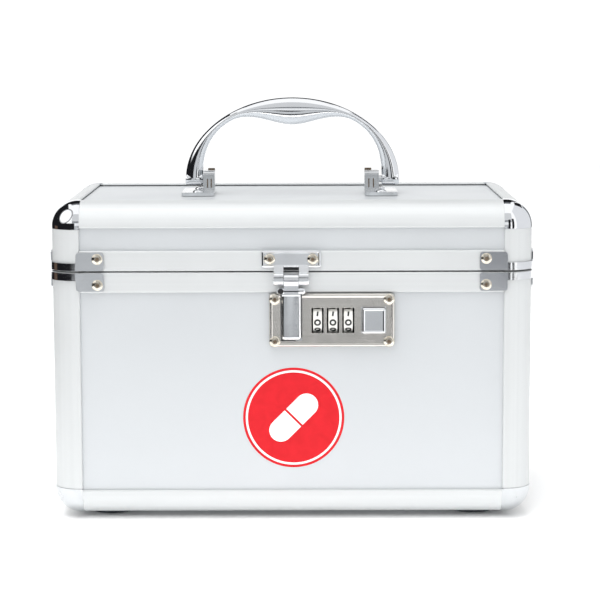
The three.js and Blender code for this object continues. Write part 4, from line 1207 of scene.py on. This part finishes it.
tab_back = neck_back + hasp_step
tab_front = tab_back - hasp_thickness
tab_high = neck_low + hasp_thickness
centre_low = latch_x - centre_half + seam / 2
centre_high = latch_x + centre_half - seam / 2
hasp = dish_piece("latch_hasp", hasp_width, tab_high - hasp_low.z, hasp_corner, hasp_rim,
                  (latch_x, tab_back, (tab_high + hasp_low.z) / 2))
oval = [(a, latch_z + (b - latch_z) * centre_rise / knuckle_radius)
        for a, b in disc(latch_y, latch_z, knuckle_radius)]
crown_half = hasp_width / 2 - hasp_rim[-1][0]
crown = [(latch_x + crown_half, tab_back - spare), (latch_x - crown_half, tab_back - spare)]
for k in range(crown_steps + 1):
    t = 2 * k / crown_steps - 1
    crown.append((latch_x + crown_half * t, tab_front - crown_rise * (1 - t * t)))
shelf = rounded([(tab_back - spare, neck_low - shelf_rise, 0),
                 (tab_front - shelf_rise, neck_low - shelf_rise, shelf_radius),
                 (tab_front - shelf_rise, neck_low + spare, 0), (tab_back - spare, neck_low + spare, 0)],
                shelf_steps)
lug = oblong(latch_x, hasp_low.z + lug_rise + lug_height / 2, lug_width, lug_height, lug_corner)
shape_with(hasp, [
    prism_piece("roll", oval, "x", centre_low, centre_high),
    block("link", (centre_low, centre_high), (neck_low + seam, latch_z), "y", neck_front, neck_back),
    dish_piece("neck", neck_width, neck_solid, neck_corner, neck_rim, (latch_x, neck_back, neck_middle)),
    prism_piece("shelf", shelf, "x", latch_x - hasp_width / 2 + seam, latch_x + hasp_width / 2 - seam),
    prism_piece("crown", crown, "z", hasp_low.z + hasp_rim[-1][0], neck_low),
    prism_piece("lug", lug, "y", tab_back - seam, tab_back + lug_depth)], "UNION")
drill(hasp, latch_y, latch_z, knuckle_bore, latch_x - catch_width, latch_x + catch_width)
# A near-black patch at the left end of the neck is painted shade for the hollow there.
neck_shade_outline = oblong(latch_x - neck_width / 2 + neck_shade_inset, neck_middle, neck_shade_width, neck_shade_height, neck_shade_corner)
neck_shade_patch = prism_piece("neck_shade_patch", neck_shade_outline, "y", neck_front - neck_shade_stand, neck_front + hasp_thickness / 2)
dress(soften(neck_shade_patch, neck_shade_stand), blackened_steel_and_painted_shade, "hasp", "plated_steel")
dress(soften(hasp, sheet_bevel), plated_steel, "hasp", "plated_steel", "hasp")

# Lock plate. Pressed steel with a warm satin nickel finish, a bright bevelled rim, and windows for
# the dials and the button. Four rivets hold it to the front panel.
lock_low, lock_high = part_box("lock_face_plate")
lock_width = lock_high.x - lock_low.x
lock_height = lock_high.z - lock_low.z
lock_x = (lock_low.x + lock_high.x) / 2
lock_z = (lock_low.z + lock_high.z) / 2
lock_depth = 0.0034
lock_back = lock_high.y
lock_face = lock_back - lock_depth
lock_corner = 0.002
lock_rim = [(0, 0), (0, 0.0025), (0.00025, 0.0031), (0.0007, 0.0037), (0.0011, 0.00395), (0.00135, 0.004),
            (0.0016, 0.00393), (0.002, 0.0037), (0.0024, 0.0034)]
lock_wall = 0.0012
lock_sheet = 0.001
lock_bevel = 0.00018
lock_rivet_inset = 0.0033
notch_width = 0.012
notch_floor_rise = 0.0035
window_width = 0.0067
window_height = 0.0142
window_corner = 0.0004
button_clearance = 0.0003
button_flange = 0.0009
button_low, button_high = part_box("release_button")
button_x = (button_low.x + button_high.x) / 2
button_width = button_high.x - button_low.x - 2 * button_flange
button_height = button_high.z - button_low.z - 2 * button_flange
dial_nodes = ["lock_dial_1", "lock_dial_2", "lock_dial_3"]
nickel_tones = ((0.82, 0.795, 0.755, 1), (0.72, 0.69, 0.645, 1))
satin_nickel = new_paint("satin_nickel", nickel_tones, rough=(0.15, 0.24), smudge=120, relief=0.000008,
                         stretch=(60, 60, 5200), streaked="colour", metallic=1)

lock_plate = dish_piece("lock_plate", lock_width, lock_height, lock_corner, lock_rim,
                        (lock_x, lock_back, lock_z))
hollow = oblong(lock_x, lock_z, lock_width - 2 * lock_wall, lock_height - 2 * lock_wall, lock_corner / 2)
notch_low = lock_low.z + notch_floor_rise
notch_high = lock_high.z + spare
windows = [oblong(latch_x, (notch_low + notch_high) / 2, notch_width, notch_high - notch_low, window_corner)]
for node in dial_nodes:
    low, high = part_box(node)
    windows.append(oblong((low.x + high.x) / 2, lock_z, window_width, window_height, window_corner))
windows.append(oblong(button_x, lock_z, button_width + 2 * button_clearance,
                      button_height + 2 * button_clearance, window_corner))
cutters = [prism_piece("hollow", hollow, "y", lock_face + lock_sheet, lock_back + spare)]
for window in windows:
    cutters.append(prism_piece("window", window, "y", lock_face - 2 * spare, lock_back + spare))
shape_with(lock_plate, cutters, "DIFFERENCE")
dress(soften(lock_plate, lock_bevel), satin_nickel, "base", "nickel", "lock_face_plate")
for row, sign_z in (("lower", -1), ("upper", 1)):
    for side, sign_x in (("left", -1), ("right", 1)):
        place = (lock_x + sign_x * (lock_width / 2 - lock_rivet_inset), lock_face,
                 lock_z + sign_z * (lock_height / 2 - lock_rivet_inset))
        rivet(f"lock_rivet_{row}_{side}", place, (0, -1, 0), "base")

# Dials. White moulded wheels with ten raised black digits each, turning on one steel axle.
dial_digits = 10
digit_steps = 12
dial_bore = 0.0021
dial_edge = 0.0003
dial_valley = 0.00022
valley_slope = 6
digit_height = 0.0038
digit_width = 0.0039
digit_line = 0.00098
digit_proud = 0.00004
digit_layer = 0.00001
digit_shift = math.radians(-8)
arc_step = 12
line_steps = 8
stroke_join = 0.0001
widest_turn = 0.5
dial_tones = ((0.68, 0.68, 0.655, 1), (0.62, 0.615, 0.575, 1))
ink_tones = ((0.006, 0.006, 0.007, 1), (0.02, 0.02, 0.02, 1))
dial_white = new_paint("dial_white", dial_tones, rough=(0.3, 0.42), smudge=300, relief=0.00001)
digit_ink = new_paint("digit_ink", ink_tones, rough=(0.35, 0.5), smudge=900)


def arc(a, b, half_width, half_height, start, end):
    """Points round part of an ellipse, between two angles in degrees."""
    steps = max(2, int(abs(end - start) / arc_step))
    angles = [math.radians(start + (end - start) * k / steps) for k in range(steps + 1)]
    return [(a + half_width * math.cos(angle), b + half_height * math.sin(angle)) for angle in angles]


def line(*points):
    """Points along straight lines, close enough together to bend."""
    made = []
    for (a, b), (c, d) in zip(points, points[1:]):
        made += [(a + (c - a) * k / line_steps, b + (d - b) * k / line_steps) for k in range(line_steps)]
    return made + [points[-1]]


digit_strokes = {
    0: [arc(0, 0, 1, 1, 0, 360)],
    1: [line((0.12, 1), (-0.08, -1))],
    2: [arc(0, 0.45, 0.9, 0.55, 165, -35) + line((0.6, 0.05), (-0.95, -1), (0.95, -1))],
    3: [arc(-0.05, 0.48, 0.85, 0.52, 150, -90), arc(-0.05, -0.5, 0.95, 0.5, 90, -150)],
    4: [line((0.4, -1), (0.4, 1), (-0.95, -0.4), (0.95, -0.4))],
    5: [line((0.8, 1), (-0.7, 1), (-0.8, 0.1)) + arc(-0.05, -0.4, 0.95, 0.6, 125, -150)],
    6: [arc(0, -0.42, 0.92, 0.58, 0, 360), arc(0.6, -0.3, 1.5, 1.3, 170, 95)],
    7: [line((-0.9, 1), (0.9, 1), (-0.2, -1))],
    8: [arc(0, 0.5, 0.8, 0.5, 0, 360), arc(0, -0.5, 0.95, 0.5, 0, 360)],
    9: [arc(0, 0.42, 0.92, 0.58, 0, 360), arc(-0.6, 0.3, 1.5, 1.3, -10, -85)],
}


def ribbon(stroke):
    """The two edges of a stroke: pairs of points on both sides of its middle line."""
    reach_a = (digit_width - digit_line) / 2
    reach_b = (digit_height - digit_line) / 2
    middle = [Vector((a * reach_a, b * reach_b)) for a, b in stroke]
    closed = (middle[0] - middle[-1]).length < stroke_join
    pairs = []
    for k, point in enumerate(middle):
        before = middle[k - 1] if k else (middle[-2] if closed else point)
        after = middle[k + 1] if k + 1 < len(middle) else (middle[1] if closed else point)
        run = (after - before).normalized()
        first_turn = (point - before).normalized() if (point - before).length else run
        widen = 1 / max(widest_turn, abs(first_turn.dot(run)))
        side = Vector((-run.y, run.x)) * digit_line / 2 * widen
        pairs.append((point + side, point - side))
    return pairs


def dial_outline(middle, radius):
    """The rim of a wheel, with a shallow valley between one digit and the next."""
    outline = []
    steps = dial_digits * digit_steps
    for k in range(steps):
        share = (k % digit_steps) / digit_steps
        dip = dial_valley * max(0, 1 - valley_slope * min(share, 1 - share))
        turned = 2 * math.pi * k / steps + digit_shift + math.pi / dial_digits
        reach = radius - dip
        outline.append((middle.y - reach * math.cos(turned), middle.z + reach * math.sin(turned)))
    return outline


def add_digit(bm, digit, middle, radius):
    """Wraps the strokes of a digit round a wheel. Each stroke lies a hair above the one before."""
    centre = digit_shift + 2 * math.pi * digit / dial_digits
    for layer, stroke in enumerate(digit_strokes[digit]):
        reach = radius + digit_proud + digit_layer * layer
        pairs = []
        for pair in ribbon(stroke):
            made = []
            for a, b in pair:
                angle = centre + b / radius
                made.append(bm.verts.new((middle.x + a, middle.y - reach * math.cos(angle),
                                          middle.z + reach * math.sin(angle))))
            pairs.append(made)
        for near, far in zip(pairs, pairs[1:]):
            bm.faces.new((near[0], near[1], far[1], far[0]))


for number, node in enumerate(dial_nodes, start=1):
    low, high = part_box(node)
    middle = (low + high) / 2
    radius = (high.z - low.z) / 2
    wheel = prism_piece(f"dial_wheel_{number}", dial_outline(middle, radius), "x", low.x, high.x)
    drill(wheel, middle.y, middle.z, dial_bore, low.x - spare, high.x + spare)
    dress(soften(wheel, dial_edge, segments=3), dial_white, f"dial_{number}", "dial", node)
    bm = bmesh.new()
    for digit in digit_strokes:
        add_digit(bm, digit, middle, radius)
    dress(new_piece(f"dial_digits_{number}", bm), digit_ink, f"dial_{number}", "dial")

# Release button. A chromed square cap with wide bevelled edges and a flat face, kept in by a flange
# behind the lock plate.
button_rim = [(0, 0), (0, 0.0020), (0.0002, 0.0024), (0.0006, 0.00275), (0.0009, 0.0029), (0.00115, 0.00285),
              (0.0014, 0.0026), (0.0016, 0.0023)]
button_corner = 0.0012
flange_sheet = 0.0011
rim_drop = button_high.y - button_low.y - max(rise for inset, rise in button_rim)
rings = [(0, 0)] + [(inset, rise + rim_drop) for inset, rise in button_rim[1:]]
button = dish_piece("push_button", button_width, button_height, button_corner, rings,
                    (button_x, button_high.y, lock_z))
flange = oblong(button_x, lock_z, button_high.x - button_low.x, button_high.z - button_low.z, button_corner)
shape_with(button, [prism_piece("flange", flange, "y", button_high.y - flange_sheet, button_high.y)], "UNION")
dress(soften(button), chrome, "button", "chrome", "release_button")

# Bolt and rear housing. A plated bolt slides behind the plate, and a blackened steel cover inside
# the box closes the lock's back and carries the dials' axle.
repaint("lock_bolt", plated_steel)
repaint("lock_housing", blackened_steel_and_painted_shade)

# Badge. A printed vinyl sign on the front panel: a red disc in a thin red ring on white, with a
# white capsule across it that a red line splits.
badge_x = 0.0008
badge_z = 0.0590
badge_ring_outer = 0.0285
badge_ring_inner = 0.0271
badge_disc = 0.0258
badge_white = 0.0268
badge_steps = 160
capsule_length = 0.0335
capsule_width = 0.0130
capsule_tilt = math.radians(45)
capsule_steps = 32
capsule_split = 0.0013
vinyl_layer = 0.00006
vinyl_tones = {"red_vinyl": ((0.565, 0.008, 0.015, 1), (0.51, 0.006, 0.012, 1)),
               "white_vinyl": ((0.86, 0.86, 0.86, 1), (0.82, 0.82, 0.83, 1))}
red_vinyl, white_vinyl = (
    new_paint(name, tones, rough=(0.34, 0.46), smudge=160, relief=0.000008, specular=0.2)
    for name, tones in vinyl_tones.items())
panel_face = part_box("base_panel_front")[0].y


def badge_circle(radius):
    """The points of a circle about the middle of the badge."""
    return disc(badge_x, badge_z, radius, badge_steps)


def tilted(points):
    """Turns points along and across the capsule to their places on the panel."""
    return [(badge_x + along * math.cos(capsule_tilt) - across * math.sin(capsule_tilt),
             badge_z + along * math.sin(capsule_tilt) + across * math.cos(capsule_tilt))
            for along, across in points]


def vinyl(name, outline, layer, paint):
    """One printed layer on the front panel."""
    piece = prism_piece(name, outline, "y", panel_face - layer * vinyl_layer, panel_face)
    return dress(piece, paint, "base", "panel")


ring = vinyl("badge_ring", badge_circle(badge_ring_outer), 1, red_vinyl)
hole = prism_piece("hole", badge_circle(badge_ring_inner), "y", panel_face - spare, panel_face + spare)
shape_with(ring, [hole], "DIFFERENCE")
vinyl("badge_white", badge_circle(badge_white), 1, white_vinyl)
vinyl("badge_disc", badge_circle(badge_disc), 2, red_vinyl)
capsule = []
half_width = capsule_width / 2
for end in (1, -1):
    for k in range(capsule_steps + 1):
        angle = math.pi * (k / capsule_steps - end / 2)
        capsule.append((end * (capsule_length / 2 - half_width) + half_width * math.cos(angle),
                        half_width * math.sin(angle)))
vinyl("badge_capsule", tilted(capsule), 3, white_vinyl)
split = [(a * capsule_split / 2, b * half_width) for a, b in ((-1, -1), (1, -1), (1, 1), (-1, 1))]
vinyl("badge_split", tilted(split), 4, red_vinyl)

low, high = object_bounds()
